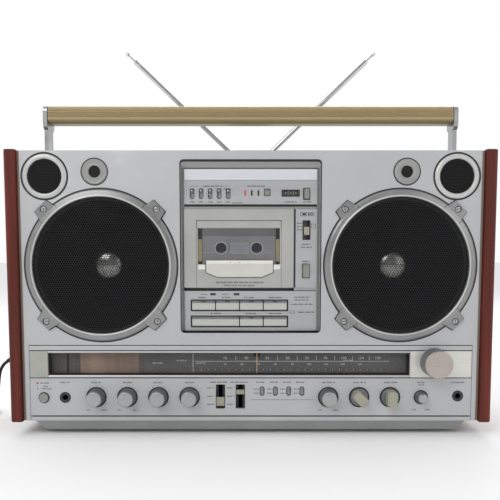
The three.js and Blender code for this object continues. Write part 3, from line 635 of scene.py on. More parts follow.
PANEL_LEVER_SLOTS = {"z": 36.0, "half": 2.2, "tall": 5, "rim": 0.7, "front": SKIN - 0.14, "back": 0.1,
                     "floor": 2.6}
DECK_LEVER_SLOTS = {"z": 270.7, "half": 2.1, "tall": 5.7, "rim": 0.6, "front": 5.0, "back": 5.4,
                    "floor": 8.4}
GROOVES = (91.2, 84.9, 52, 5.6)         # heights of the dark lines between the face's strips
TUNER_LOW, TUNER_HIGH = 52.6, 84.4      # the band that holds the dial
LINE_FRONT, LINE_BACK = SKIN - 0.12, SKIN + 0.1     # dark outlines on the face: painted shade in the gaps around rings, lugs, buttons and sockets
LUG_SCREW = 93.2                        # from the woofer's middle to a lug's screw
LEGEND_Z = 46.6                         # the upper row of print on the control panel
POWER_LAMP = (-255.3, 45.7)


def face_plate():
    """The painted plate around the loudspeakers and the deck, down both sides to the bottom."""
    outline = [(-269.6, 0.4), (-264.6, 0.4), (-264.6, 91.7), (264.6, 91.7), (264.6, 0.4), (269.6, 0.4),
               (269.6, 319.6), (-269.6, 319.6)]
    holes = [rectangle(-DECK["half"], DECK["half"], DECK["bottom"], DECK["top"], 4)]
    for side, _ in SIDES:
        holes.append(circle(side * WOOFER["x"], WOOFER["z"], WOOFER["hole"], 128))
        holes.append(circle(side * TWEETER["x"], TWEETER["z"], TWEETER["recess"]))
        holes.append(circle(side * MICROPHONE["x"], MICROPHONE["z"], MICROPHONE["recess"]))
    piece("face_plate", slab(outline, SKIN, 0.05, holes, edge=0.35), SILVER)


def lever_slot(name, slots, wider=0.0):
    """The outline of a lever's pill-shaped slot, or one that much wider all round."""
    half = slots["half"] + wider
    return centred(middle(name)[0], slots["z"], half, slots["tall"] + wider, half - 0.1)


def control_panel():
    """The strip of controls along the bottom, with a round well or a slot for each."""
    holes = [circle(*middle(name), 11.9, 64) for name in ROUND_CONTROLS]
    holes.append(circle(*middle("mixing_knob"), 8.2, 64))
    holes.append(circle(*middle("power_button"), 6.2, 48))
    holes += [circle(x, z, 6.3, 48) for x, z in JACKS]
    for name in SLIDES:
        x = middle(name)[0]
        holes.append(rectangle(x - SLOT["half"], x + SLOT["half"], SLOT["bottom"], SLOT["top"], 0.5))
    holes += [lever_slot(name, PANEL_LEVER_SLOTS) for name in PANEL_LEVERS]
    outline = rectangle(-STRIP_HALF, STRIP_HALF, 6.1, 51.5, 0.6)
    piece("control_panel", slab(outline, SKIN, 0.05, holes, edge=0.3), SILVER)
    linings = bmesh.new()
    for name in ROUND_CONTROLS:
        well_lining(name, 8, 11.8, 12.4, linings)
    well_lining("mixing_knob", 5, 8.1, 8.6, linings)
    # painted shade: the wells' black linings and rims stand for the shadow in the wells
    piece("well_shade_linings", linings, BLACK)
    plate("bottom_strip", (-STRIP_HALF, STRIP_HALF, 0.5, 5.1, 0.5), SKIN, 0.05, SILVER,
          "cabinet_silver", edge=0.3)
    plate("upper_strip", (-STRIP_HALF, STRIP_HALF, 85.4, 90.8, 0.5), SKIN - 0.3, 0.05, SILVER,
          "bright_trim", edge=0.4)
    lines = bmesh.new()
    for z in GROOVES:
        slab(centred(0, z, 264.4, 0.6), -0.12, 0.1, edge=0.02, steps=1, bm=lines)
    slab(rectangle(-262, 262, 4.9, 6.4), SKIN - 0.08, 0.1, edge=0.02, steps=1, bm=lines)
    piece("panel_gaps", lines, BLACK)
    ends = bmesh.new()
    for side, _ in SIDES:
        x = side * 264.25
        slab(rectangle(x - 0.3, x + 0.3, 0.6, 91.4), -0.12, 0.1, edge=0.02, steps=1, bm=ends)
    piece("panel_end_gaps", ends, SHELL)


def well_lining(name, floor, wall, rim, linings):
    """The dark floor, wall and rim of the round well under a knob, from their radii: painted shade in the
    well and in the gap round the knob.
    """
    turned([(floor, 1.1), (wall, 1.1), (wall, -0.5), (rim, -0.5), (rim, -0.3)], *middle(name), 64,
           bm=linings)


def tuner_surround():
    """Bright rails above and below the dial, a cream block at its left, a brushed one right."""
    left, right = WINDOW_LOW.x, WINDOW_HIGH.x
    low, high = WINDOW_LOW.z, WINDOW_HIGH.z
    rails = bmesh.new()
    for z0, z1 in ((TUNER_LOW, low - 0.1), (high + 0.1, TUNER_HIGH)):
        middle_z = (z0 + z1) / 2
        section = [(0.1, z0), (-0.9, z0 + 0.1), (-1.5, middle_z - 0.3), (-1.5, middle_z + 0.3),
                   (-0.9, z1 - 0.1), (0.1, z1)]
        bar(section[::-1], left, right, edge=0.2, bm=rails)
    piece("dial_rails", rails, TRIM)
    plate("dial_block_left", (-STRIP_HALF + 0.6, left - 0.2, TUNER_LOW, TUNER_HIGH, 0.5), -1.3, 0.05,
          CREAM_BLOCK, "cream_plastic", edge=0.4)
    plate("dial_block_right", (right + 0.7, STRIP_HALF - 0.7, TUNER_LOW, TUNER_HIGH, 0.5), -1.3, 0.05,
          BRUSHED, "satin_aluminium", holes=[circle(*TUNING, 6)], edge=0.4)


def cabinet():
    for shell in (refined("front_cabinet", SILVER, "root", edge=0.35),
                  refined("rear_cabinet", SHELL, "root", edge=0.6)):
        shell.data.materials.append(PLINTH)
        for face in shell.data.polygons:
            if face.center.z < FACE_BOTTOM - 0.1 * MM:
                face.material_index = 1
    for _, word in SIDES:
        refined(f"side_panel_{word}", WOOD, "root", edge=0.8, segments=3)
    seam = bmesh.new()
    for side, _ in SIDES:
        x = side * 271.6
        slab(rectangle(x - 1.4, x + 1.4, 0.6, 319.6, 0.4), 0.7, 1.3, edge=0.2, bm=seam)
    piece("side_seams", seam, SEAM)


# ------------------------------------------------------------------------------------------
# Loudspeakers
# ------------------------------------------------------------------------------------------

def washer(x, z, inner, outer, segments=96):
    """A thin flat ring on the face; in black it is painted shade in the gap round a ring, button or socket.
    """
    profile = [(inner, LINE_FRONT), (outer, LINE_FRONT), (outer, LINE_BACK), (inner, LINE_BACK)]
    return turned(profile + profile[:1], x, z, segments)


def woofer_ring(side, word):
    """The moulded ring in four arcs, the dark line around it and four screwed lugs. The dark line, the lugs'
    dark outlines and the screw slots are painted shade in gaps and slots; the thin lines across the ring are
    real joints.
    """
    x, z = side * WOOFER["x"], WOOFER["z"]
    ring = turned([(80, -0.4), (80, -2.9), (80.7, -3.9), (81.6, -4.2), (82.6, -3.9), (83.2, -3.5),
                   (86.6, -3.1), (88.2, -2.5), (89.2, -1.5), (89.5, -0.4), (80, -0.4)], x, z, 160)
    piece(f"woofer_ring_{word}", ring, RING, stands_for=(f"woofer_grille_{word}",))
    # painted highlight: a brighter material along the ring's rounded inner lip
    lip = turned([(80.3, -3.3), (80.9, -4.1), (81.6, -4.35), (82.3, -4.15), (82.6, -3.85), (80.3, -3.3)],
                 x, z, 160)
    piece(f"woofer_lip_highlight_{word}", lip, TRIM)
    # painted shade: a black ring in the gap outside the ring, black outlines round the lugs and dark screw
    # slots
    dark = washer(x, z, 88.8, 91.1, 160)
    lugs, screws = bmesh.new(), bmesh.new()
    for quarter in range(4):
        spin = Matrix.Translation((x, 0, z)) @ rotation(45 + 90 * quarter, "Y")
        joint_lines(dark, spin)
        lug_shape(lugs, spin)
        lug_outline(dark, spin)
        lug_screw(screws, dark, spin)
    piece(f"woofer_lugs_{word}", lugs, RING)
    piece(f"woofer_joints_and_shade_{word}", dark, BLACK)
    piece(f"woofer_screws_{word}", screws, SATIN)


def lug_shape(target, spin):
    outline = [(86.5, -11.4), (88.5, -11.4), (98.5, -9.1), (98.5, 9.1), (88.5, 11.4), (86.5, 11.4)]
    moved_in(target, slab(outline, -3.0, -0.3, [circle(LUG_SCREW, 0, 3.9, 32)], edge=0.5), spin)


def lug_outline(target, spin):
    outline = [(87, -12.3), (88.8, -12.3), (99.3, -9.9), (99.3, 9.9), (88.8, 12.3), (87, 12.3)]
    moved_in(target, slab(outline, LINE_FRONT, LINE_BACK, edge=0.02, steps=1), spin)


def lug_screw(screws, dark, spin):
    """A slotted screw head in the lug's hole."""
    place = spin @ Matrix.Translation((LUG_SCREW, 0, 0))
    head = turned([(0, -2.5), (2.6, -2.5), (3.1, -2.2), (3.3, -1.6), (3.3, -0.6), (0, -0.6)], 0, 0, 32)
    moved_in(screws, head, place)
    groove = slab(centred(0, 0, 2.6, 0.35), -2.62, -2.4, edge=0.02, steps=1)
    moved_in(dark, groove, place @ Matrix.Rotation(0.6, 4, "Y"))


def joint_lines(target, spin):
    """Two thin lines across the ring, where its arcs meet the lug."""
    for turn in (-8.5, 8.5):
        place = spin @ rotation(turn, "Y")
        moved_in(target, slab(rectangle(82.4, 88, -0.16, 0.16), -3.66, -3.0, edge=0.02, steps=1), place)


def woofer_driver(side, word):
    """The cone with its half-roll surround, the metal dust cap and the basket behind."""
    x, z = side * WOOFER["x"], WOOFER["z"]
    refined(f"woofer_{word}", BASKET, "root", edge=0.4)
    cone = turned([(70 - 10.4 * i, 6.2 + 5.4 * i) for i in range(6)], x, z, 96)
    piece(f"woofer_cone_{word}", cone, PAPER)
    roll = [(75 + 5.5 * math.cos(math.radians(a)), 8.2 - 4 * math.sin(math.radians(a)))
            for a in range(0, 181, 20)]
    piece(f"woofer_surround_{word}", turned(roll, x, z, 96), FOAM)
    dome = [(20.4, 36.4), (20.6, 35.0), (19.9, 34.0), (19.0, 34.6)]
    dome += [(18.4 * math.cos(math.radians(a)), 34.6 - 8 * math.sin(math.radians(a)))
             for a in range(0, 91, 10)]
    piece(f"woofer_dome_{word}", turned(dome[:-1] + [(0, dome[-1][1])], x, z, 64), DOME)


def woofer_mesh(side, word):
    cells = honeycomb(side * WOOFER["x"], WOOFER["z"], WOOFER["inner"] - 0.4, -2.4, 2.8, 2.1, 0.7)
    piece(f"woofer_mesh_{word}", cells, MESH, smooth=20)


def tweeter(side, word):
    x, z = side * TWEETER["x"], TWEETER["z"]
    ring = turned([(20, 1.4), (20, -0.6), (20.6, -1.7), (21.8, -2.3), (23.4, -2.2), (24.9, -1.6),
                   (25.8, -0.7), (25.9, 0.6), (25.9, 1.4), (20, 1.4)], x, z, 96)
    piece(f"tweeter_ring_{word}", ring, TRIM)
    outline_ring(f"tweeter_line_{word}", x, z, 25.7, 27.9)
    piece(f"tweeter_mesh_{word}", honeycomb(x, z, 20.2, -0.5, 2.0, 1.45, 0.6), MESH,
          smooth=20)
    piece(f"tweeter_back_{word}", turned([(0, 1.1), (12, 1.3), (20.4, 1.5), (20.4, 1.7), (0, 1.7)], x, z, 48),
          PAPER)


# painted shade: a black flat ring on the face, in the gap around a recessed ring, button or socket
def outline_ring(name, x, z, inner, outer):
    piece(name, washer(x, z, inner, outer), BLACK)


def microphone(side, word):
    x, z = side * MICROPHONE["x"], MICROPHONE["z"]
    ring = turned([(6.9, 1.0), (6.9, -0.9), (7.5, -1.5), (8.4, -1.5), (11.6, -1.1), (13.2, -1.6),
                   (14.2, -1.5), (14.8, -0.8), (14.8, 1.0), (6.9, 1.0)], x, z, 96)
    piece(f"microphone_ring_{word}", ring, BEVEL)
    outline_ring(f"microphone_line_{word}", x, z, 14.6, 16.1)
    piece(f"microphone_mesh_{word}", honeycomb(x, z, 7.1, 0.2, 1.5, 1.0, 0.4), MESH,
          smooth=20)
    piece(f"microphone_back_{word}", turned([(0, 0.8), (7.2, 0.8), (7.2, 1.0), (0, 1.0)], x, z, 32), BLACK)


# ------------------------------------------------------------------------------------------
# Printed marks
# ------------------------------------------------------------------------------------------

def printed(name, outlines, y, look, body="root"):
    """Flat printed shapes, a hair proud of the surface whose front is at y."""
    bm = bmesh.new()
    for outline in outlines:
        slab(outline, y - 0.06, y + 0.02, edge=0.01, steps=1, bm=bm)
    piece(name, bm, look, body)


def legend(x, z, width, height, seed):
    """A row of short upright strokes in word-like groups: it stands for a line of print."""
    rng = random.Random(seed)
    strokes, cursor, end = [], x - width / 2, x + width / 2
    while cursor < end:
        for _ in range(rng.randint(3, 7)):
            if cursor < end:
                top = z + height / 2 * rng.choice((1, 1, 0.6))
                strokes.append(rectangle(cursor, cursor + 0.6, z - height / 2, top))
                strokes.append(rectangle(cursor, cursor + 0.95, z - height / 2, z - height / 2 + 0.45))
            cursor += 1.15
        cursor += 0.9
    return strokes


def numerals(name, texts, y, look, body="root"):
    """Numbers as flat shapes. texts holds (text, x, z, height)."""
    bm = bmesh.new()
    for text, x, z, height in texts:
        curve = bpy.data.curves.new("numeral", "FONT")
        curve.body = text
        curve.size = height * 1.38
        curve.extrude = 0.03
        curve.offset = 0.006 * height
        curve.align_x = "CENTER"
        curve.align_y = "CENTER"
        holder = added("numeral", curve)
        bpy.context.view_layer.update()
        shape = holder.evaluated_get(bpy.context.evaluated_depsgraph_get())
        mesh = bpy.data.meshes.new_from_object(shape)
        mesh.transform(Matrix.Translation((x, y, z)) @ rotation(90, "X"))
        bm.from_mesh(mesh)
        bpy.data.meshes.remove(mesh)
        bpy.data.objects.remove(holder)
        bpy.data.curves.remove(curve)
    piece(name, bm, look, body)


def frame_lines(x0, x1, z0, z1, width):
    """Four thin bars around a rectangle."""
    return [rectangle(x0, x1, z0, z0 + width), rectangle(x0, x1, z1 - width, z1),
            rectangle(x0, x0 + width, z0, z1), rectangle(x1 - width, x1, z0, z1)]


def scale_dots(x, z, radius, dot):
    """Eleven dots around a knob, open at its foot."""
    angles = [math.radians(-60 + 30 * step) for step in range(11)]
    return [circle(x + radius * math.cos(a), z + radius * math.sin(a), dot, 8) for a in angles]


def panel_print():
    """Scale dots and legends around the controls on the lower panel."""
    shapes = []
    for i, name in enumerate(ROUND_CONTROLS):
        x, z = middle(name)
        shapes += legend(x, LEGEND_Z, 11 if i < 4 else 15, 1.5, i)
        shapes += scale_dots(x, z, 13.9, 0.34)
    for name in ("volume_knob", "balance_knob", "record_level_knob"):
        x = middle(name)[0]
        shapes += legend(x - 9.5, 13, 5, 1.3, 21) + legend(x + 9.5, 13, 6, 1.3, 22)
    x, z = middle("mixing_knob")
    shapes += scale_dots(x, z, 10, 0.3)
    shapes += legend(x, LEGEND_Z, 9, 1.4, 31) + legend(x, 43.6, 6, 1.3, 32)
    shapes += legend(x - 8, 13.5, 4, 1.2, 33) + legend(x + 8, 13.5, 5, 1.2, 34)
    shapes += legend(JACKS[0][0], LEGEND_Z, 11, 1.4, 41) + legend(JACKS[1][0], LEGEND_Z, 15, 1.4, 42)
    shapes += legend(-246.5, 45.9, 10, 1.5, 43) + legend(-245.5, 41.9, 5, 1.2, 44)
    shapes += legend(-244.5, 38.9, 12, 1.2, 45)
    shapes += [circle(-255.3, 41.6, 0.5, 10), circle(-255.3, 38.7, 0.7, 10)]
    for i, name in enumerate(SLIDES):
        x = middle(name)[0]
        shapes += legend(x - 2, 47, 20, 1.5, 50 + i)
        for row, z in enumerate((40, 30, 20)):
            shapes += legend(x - 12.5, z, 7, 1.3, 60 + 3 * i + row)
            shapes.append(circle(x - 7.4, z, 0.5, 8))
    for i, name in enumerate(PANEL_LEVERS):
        x = middle(name)[0]
        shapes += legend(x - 2, 47, 10, 1.4, 70 + i)
        for row, z in enumerate((38.6, 33.6)):
            shapes += legend(x - 7, z, 5.5, 1.2, 80 + 2 * i + row)
    shapes.append(rectangle(0.5, 75, 25.3, 25.7))
    printed("panel_print", shapes, SKIN, INK)


# ------------------------------------------------------------------------------------------
# Tuner dial
# ------------------------------------------------------------------------------------------

def dial():
    """The scale plate behind the smoked window, its numbers and lines, and the pointer."""
    left, right = WINDOW_LOW.x, WINDOW_HIGH.x
    low, high = WINDOW_LOW.z, WINDOW_HIGH.z
    plate("dial_plate", (left + 0.2, right - 0.2, low + 0.2, high - 0.2), 11.1, 11.45, DIAL,
          edge=0.05, steps=1)
    plate("dial_meter_panel", (left + 0.8, left + 112, low + 0.5, high - 0.5), 11.05, 11.2, DIAL_BROWN,
          edge=0.05, steps=1)
    plate("dial_meters", (left + 35, left + 106, low + 0.5, high - 0.5), 11.0, 11.1, DIAL_WARM,
          "cream_plastic", edge=0.04, steps=1)
    plate("dial_meter_bar", (left + 18.6, left + 20.8, low + 0.4, high - 0.4), 10.8, 11.1, BLACK,
          edge=0.05, steps=1)
    lines = [rectangle(-67, 168, 69.7, 70.3), rectangle(-70.3, -69.6, low + 1, high - 1)]
    stations = [-31 + 26.5 * i - 0.42 * i * i for i in range(9)]
    lines += [rectangle((a + b) / 2 - 0.3, (a + b) / 2 + 0.3, 71.2, 76.8)
              for a, b in zip(stations, stations[1:])]
    for i in range(27):
        x = -60 + 8.4 * i
        lines.append(rectangle(x - 0.25, x + 0.25, 58.8, 60.6))
    for i, x in enumerate((-113, -84, -60, 118)):
        lines += legend(x, 68 + 3 * (i % 2), 12, 1.8, 90 + i)
    printed("dial_lines", lines, 11.0, PALE_INK)
    texts = [(str(76 + 4 * i), x, 74, 3.4) for i, x in enumerate(stations)]
    texts += [(str(n), -31 + 20.4 * i, 66.4, 2.5)
              for i, n in enumerate((53, 60, 70, 80, 90, 100, 120, 140, 160))]
    numerals("dial_numbers", texts, 10.95, PALE_INK)
    pointer_low, pointer_high = extent("dial_pointer")
    x = (pointer_low.x + pointer_high.x) / 2
    needle = slab(rectangle(x - 0.5, x + 0.5, pointer_low.z, pointer_high.z), pointer_low.y, 6.6, edge=0.3)
    piece("dial_needle", needle, ORANGE, "dial_pointer", ("dial_pointer",))
    plate("dial_slider", (x - 4, x + 4, pointer_high.z - 4.4, pointer_high.z, 0.6), 6.8, 9.6, BLACK,
          body="dial_pointer", edge=0.4)
    piece("dial_glass", slab(rectangle(left, right, low, high, 0.6), 1, 3.4, edge=0.3), SMOKE,
          stands_for=("dial_window",))
    sides = bmesh.new()
    for x0, x1 in ((left + 0.05, left + 0.6), (right - 0.6, right - 0.05)):
        slab(rectangle(x0, x1, low, high), 0.4, 11.3, edge=0.05, steps=1, bm=sides)
    for z0, z1 in ((low + 0.02, low + 0.5), (high - 0.5, high - 0.02)):
        slab(rectangle(left, right, z0, z1), 0.4, 11.3, edge=0.05, steps=1, bm=sides)
    piece("dial_well", sides, BLACK)


# ------------------------------------------------------------------------------------------
# Knobs, selectors, slides, levers, buttons and sockets
# ------------------------------------------------------------------------------------------

def fluted(profile, x, z, count, depth):
    """A turned skirt whose outline has fine flutes."""
    bm = bmesh.new()
    rings = []
    for radius, y in profile:
        ring = []
        for i in range(2 * count):
            a = math.pi * i / count
            r = radius - depth * (i % 2)
            ring.append(bm.verts.new((x + r * math.cos(a), y, z + r * math.sin(a))))
        rings.append(ring)
    skin(bm, rings)
    return bm


def knob(name, radius, cap_radius, height, cap_look, flutes):
    """A knob: fluted tapering side and a turned cap with a bright rim. Its index line, if it has one, is
    drawn apart by index_line.
    """
    x, z = middle(name)
    side = fluted([(radius, 0.4), (radius, -0.7), (radius - 0.5, -1.2), (cap_radius + 0.2, 1.4 - height),
                   (cap_radius - 0.4, 1.2 - height)], x, z, flutes, 0.12)
    piece(f"{name}_side", side, KNOB_SIDE, name, (name,), smooth=25)
    # painted shade: a black ring at the knob's foot, in the gap to its well
    skirt = turned([(4, 0.35), (radius + 0.5, 0.35), (radius + 0.5, 0.0), (radius, -0.25)], x, z, 64)
    piece(f"{name}_skirt", skirt, BLACK, name)
    cap = turned([(cap_radius + 0.15, 1.5 - height), (cap_radius + 0.1, 1.1 - height),
                  (cap_radius - 0.2, 0.55 - height), (cap_radius - 0.7, 0.2 - height),
                  (cap_radius - 1.4, 0.04 - height), (cap_radius - 1.9, -height),
                  (cap_radius - 2.1, 0.12 - height), (cap_radius * 0.5, 0.2 - height),
                  (0, 0.24 - height)], x, z, 96)
    piece(f"{name}_cap", cap, cap_look, name)


def index_line(name, radius, height):
    x, z = middle(name)
    shape = rectangle(x - 0.25, x + 0.25, z + radius * 0.62, z + radius * 0.86)
    printed(f"{name}_index", [shape], 0.1 - height, INK, name)


def knobs():
    for name in ROUND_CONTROLS[:5]:
        knob(name, 10.7, 8.9, 14.4, SATIN, 60)
        index_line(name, 8.9, 14.4)
    knob("mixing_knob", 7.2, 5.4, 10.5, SATIN, 44)
    index_line("mixing_knob", 5.4, 10.5)
    knob("tuning_knob", 17.3, 16.3, 20.5, PINK_SATIN, 110)
    x, z = middle("tuning_knob")
    printed("tuning_knob_dot", [circle(x, z - 1.2, 0.5, 12)], 0.2 - 20.5, INK, "tuning_knob")
    for name in ("function_selector", "band_selector"):
        refined(name, CREAM, name, edge=0.5, segments=3)
        x, z = middle(name)
        skirt = turned([(4, 0.38), (10.9, 0.38), (10.9, -1.1), (10.5, -2.2), (9.8, -3.0), (9.4, -3.15),
                        (0, -3.15)], x, z, 96)
        piece(f"{name}_skirt", skirt, KNOB_SIDE, name)


def slides():
    for name in SLIDES:
        x = middle(name)[0]
        refined(name, CREAM, name, edge=0.5, segments=3)
        low, high = extent(name)
        ribs = bmesh.new()
        count = int((high.z - low.z) / 1.6)
        for i in range(count):
            z = low.z + 0.9 + i * 1.6
            slab(rectangle(x - 4.2, x + 4.2, z, z + 0.6), -2.1, -1.7, edge=0.15, bm=ribs)
        piece(f"{name}_ribs", ribs, CREAM, name)
        well = slab(rectangle(x - 5.6, x + 5.6, SLOT["bottom"] - 0.1, SLOT["top"] + 0.1), 3.4, 4.0,
                    [rectangle(x - 2.4, x + 2.4, SLOT["bottom"] + 1, SLOT["top"] - 1)], edge=0.1)
        piece(f"{name}_well", well, BLACK)


def levers():
    """Chrome levers, each in a pill-shaped slot with a dark edge."""
    rims, floors = bmesh.new(), bmesh.new()
    for names, slots in ((PANEL_LEVERS, PANEL_LEVER_SLOTS), (DECK_LEVERS, DECK_LEVER_SLOTS)):
        for name in names:
            refined(name, SATIN, name, edge=0.12)
            slab(lever_slot(name, slots, slots["rim"]), slots["front"], slots["back"],
                 [lever_slot(name, slots)], edge=0.05, bm=rims)
            slab(lever_slot(name, slots, -0.1), slots["floor"], slots["floor"] + 0.4, edge=0.1, bm=floors)
    piece("lever_slots", rims, INK)
    piece("lever_slot_floors", floors, PANEL)


def power_and_sockets():
    x, z = middle("power_button")
    profile = [(5.6, 3), (5.6, -2.2), (5.3, -2.8), (4.7, -3), (4.3, -2.9), (3.9, -2.6), (0, -2.5)]
    button = turned(profile, x, z)
    piece("power_button_cap", button, BUTTON, "power_button", ("power_button",))
    outline_ring("power_button_line", x, z, 6.0, 6.7)
    lamp = turned([(0, -1.4), (0.7, -1.2), (1.3, -0.6), (1.3, -0.2), (0, -0.2)], *POWER_LAMP, 24)
    piece("power_lamp", lamp, RED)
    for i, (x, z) in enumerate(JACKS):
        nut = turned([(3.2, 9), (3.2, -0.6), (3.7, -1.1), (5.0, -1.1), (5.9, -0.7), (6.2, -0.2), (6.2, 0.6),
                      (3.9, 0.6), (3.9, 9), (3.2, 9)], x, z, 64)
        piece(f"socket_nut_{i + 1}", nut, NUT)
        outline_ring(f"socket_line_{i + 1}", x, z, 6.1, 6.7)
        well = turned([(0, 14), (3.9, 14), (3.9, 8.9), (3.6, 8.9), (3.6, 13.6), (0, 13.6)], x, z, 24)
        piece(f"socket_well_{i + 1}", well, BLACK)


# ------------------------------------------------------------------------------------------
# Cassette deck
# ------------------------------------------------------------------------------------------

PANEL_FRONT = 5.2               # front of the deck's panels
KEY_SPAN = (-70, 43.2)
KEY_ROWS = (                    # bottom, top and the joints between the keys
    (133.3, 144.3, (-41.9, -13.3, 15)),
    (113.9, 125, (-13.3, 15)),
)
REEL_HUBS = ((-35.2, 206.9), (7.2, 206.9))


def deck_frame():
    """The bevelled frame around the deck, in bands: a dark lip, a wide bevel, a dark edge."""
    def ring_at(share):
        half = DECK["half"] - 2.6 * share
        low = DECK["bottom"] + 1.0 * share
        high = DECK["top"] - 7.5 * share
        return rectangle(-half, half, low, high, 4 - 2.5 * share)

    def band(name, look, stages):
        bm = bmesh.new()
        skin(bm, [[bm.verts.new((x, y, z)) for x, z in ring_at(share)] for share, y in stages])
        piece(name, bm, look, smooth=50)

    band("deck_lip", BLACK, [(-0.3, SKIN - 0.1), (0.0, SKIN - 0.1), (0.06, 0.5)])
    band("deck_bevel", BEVEL, [(0.05, 0.3), (0.12, 0.2), (0.5, 2.6), (0.56, 3.4), (0.84, 4.6), (0.9, 5.6)])
    band("deck_inner_lip", SHELL, [(0.88, 5.2), (0.92, 5.0), (1.0, 6.4)])


def deck_panels():
    """The fascia behind the frame, its bright blank header, and the dark gaps between panels."""
    refined("deck_fascia", PANEL, "root", edge=0.3)
    plate("deck_header", (-77.8, 77.8, 286.6, 299, 0.4), 4.3, 4.9, HEADER, "bright_trim", edge=0.2)
    gaps = bmesh.new()
    for x0, x1, z0, z1 in ((-78.6, 78.6, 254.2, 258.2), (51.9, 53.2, 159.8, 253.4),
                           (-78.6, 78.6, 155.7, 156.5), (-79.4, 79.4, 106.9, 107.9)):
        slab(rectangle(x0, x1, z0, z1), 6.6, 7.0, edge=0.05, steps=1, bm=gaps)
    piece("deck_gaps", gaps, BLACK)
    plate("deck_rail", (-78.6, 78.6, 252.9, 255.6, 0.3), 5.6, 6.8, BEVEL, "bright_trim", edge=0.3)


def deck_print():
    """Legends, symbols and boxes printed on the deck's panels."""
    shapes = legend(-45, 279.6, 22, 1.3, 101)
    shapes += [rectangle(-72, -62, 279.5, 279.8), rectangle(-34, -25, 279.5, 279.8)]
    shapes += [rectangle(-46, -24, 276.2, 276.5)] + legend(-28, 276.3, 8, 1.1, 102)
    for i, name in enumerate(DECK_LEVERS):
        x = middle(name)[0]
        shapes += legend(x, 261.2, 5, 1.3, 110 + i)
    shapes += legend(-16, 260, 12, 1.2, 103)
    shapes += legend(6, 279.6, 20, 1.3, 104) + legend(19.6, 276.4, 8, 1.2, 105)
    shapes += legend(47.2, 261.2, 14, 1.4, 106) + legend(66, 261.2, 9, 1.4, 107)
    for row, z in enumerate((236.3, 232.4, 228.6)):
        shapes += legend(57.7, z, 6, 1.3, 120 + row)
    shapes += frame_lines(71.5, 76.9, 230, 235.4, 0.4)
    shapes += [rectangle(74, 74.3, 232.6, 234.4), rectangle(74, 75.3, 232.5, 232.8)]
    shapes += frame_lines(58.5, 75, 244.6, 249, 0.5)
    shapes += [rectangle(61, 65.8, 245.6, 248)] + [rectangle(67.5 + 2.2 * i, 68.9 + 2.2 * i, 245.6, 248)
                                                 for i in range(3)]
    shapes += legend(66, 211.5, 10, 1.4, 130) + legend(66, 208, 13, 1.4, 131)
    shapes += legend(65.8, 191.3, 9, 1.4, 132)
    for row, z in enumerate((148.6, 145.2, 140)):
        shapes += legend(61, z, 17 if row < 2 else 25, 1.3, 140 + row)
    shapes += frame_lines(46.4, 52.6, 129, 132.2, 0.4) + legend(66, 130.6, 18, 1.5, 145)
    shapes += key_symbols()
    printed("deck_print", shapes, PANEL_FRONT, INK)


def key_symbols():
    """Generic transport symbols over the keys: triangles, a bar pair, a square and legends."""
    def arrow(x, z, size):
        return [(x - size, z), (x + size, z - abs(size)), (x + size, z + abs(size))][::1 if size > 0 else -1]
    row = 148.2
    shapes = [arrow(-62, row, 0.9), arrow(-60, row, 0.9), arrow(-33, row, -1.0), arrow(-6.6, row, -0.9),
              arrow(-4.6, row, -0.9)]
    shapes += [rectangle(-48.6, -41.4, 150.6, 153.4, 1.3), rectangle(-20.4, -13.2, 150.6, 153.4, 1.3)]
    for i, x in enumerate((-56, -28, 0.5, 29)):
        shapes += legend(x, row, 6 if i < 3 else 15, 1.4, 150 + i)
    shapes += legend(-56, 152, 7, 1.0, 155) + legend(-30, 152, 8, 1.0, 156)
    shapes += [rectangle(-47.5, -45.9, 128.2, 129.8)] + legend(-40, 129, 7, 1.4, 157)
    shapes += [rectangle(-5.6, -5.0, 128.2, 129.8), rectangle(-4.5, -3.9, 128.2, 129.8)]
    shapes += legend(1.5, 129, 8, 1.4, 158) + legend(29, 129, 14, 1.4, 159)
    return shapes


KEYS = ["rewind_key", "play_key", "fast_forward_key", "record_key", "stop_key", "pause_key", "mute_key"]


def keys():
    """Bright piano keys in two dark wells, each with a darker strip of painted shade on its upper ledge, most
    with a dark sight on that ledge.
    """
    wells = bmesh.new()
    left, right = KEY_SPAN
    for z0, z1, _ in KEY_ROWS:
        slab(rectangle(left - 1.7, right + 1.7, z0 - 1.7, z1 + 1.4, 0.8), 4.95, 5.4,
             [rectangle(left - 0.4, right + 0.4, z0 - 0.4, z1 + 0.4, 0.4)], edge=0.1, bm=wells)
    for z0, z1, joints in KEY_ROWS:
        for x in joints:
            slab(rectangle(x - 0.65, x + 0.65, z0 - 0.2, z1 + 0.2), 2.55, 5.4, edge=0.1, bm=wells)
    piece("key_wells", wells, BLACK)
    for name in KEYS:
        refined(name, KEY, name, edge=0.3)
        low, high = extent(name)
        # painted shade: a darker strip along the key's upper ledge
        lip = bmesh.new()
        slab(rectangle(low.x + 0.3, high.x - 0.3, high.z - 2.6, high.z - 0.1), 4.12, 4.3, edge=0.05, bm=lip)
        piece(f"{name}_ledge_shade", lip, KNOB_SIDE, name)
        if name not in ("stop_key", "mute_key"):
            x = (low.x + high.x) / 2
            printed(f"{name}_sight", [rectangle(x - 2.8, x + 2.8, high.z - 1.8, high.z - 0.5)], 4.1,
                    BLACK, name)


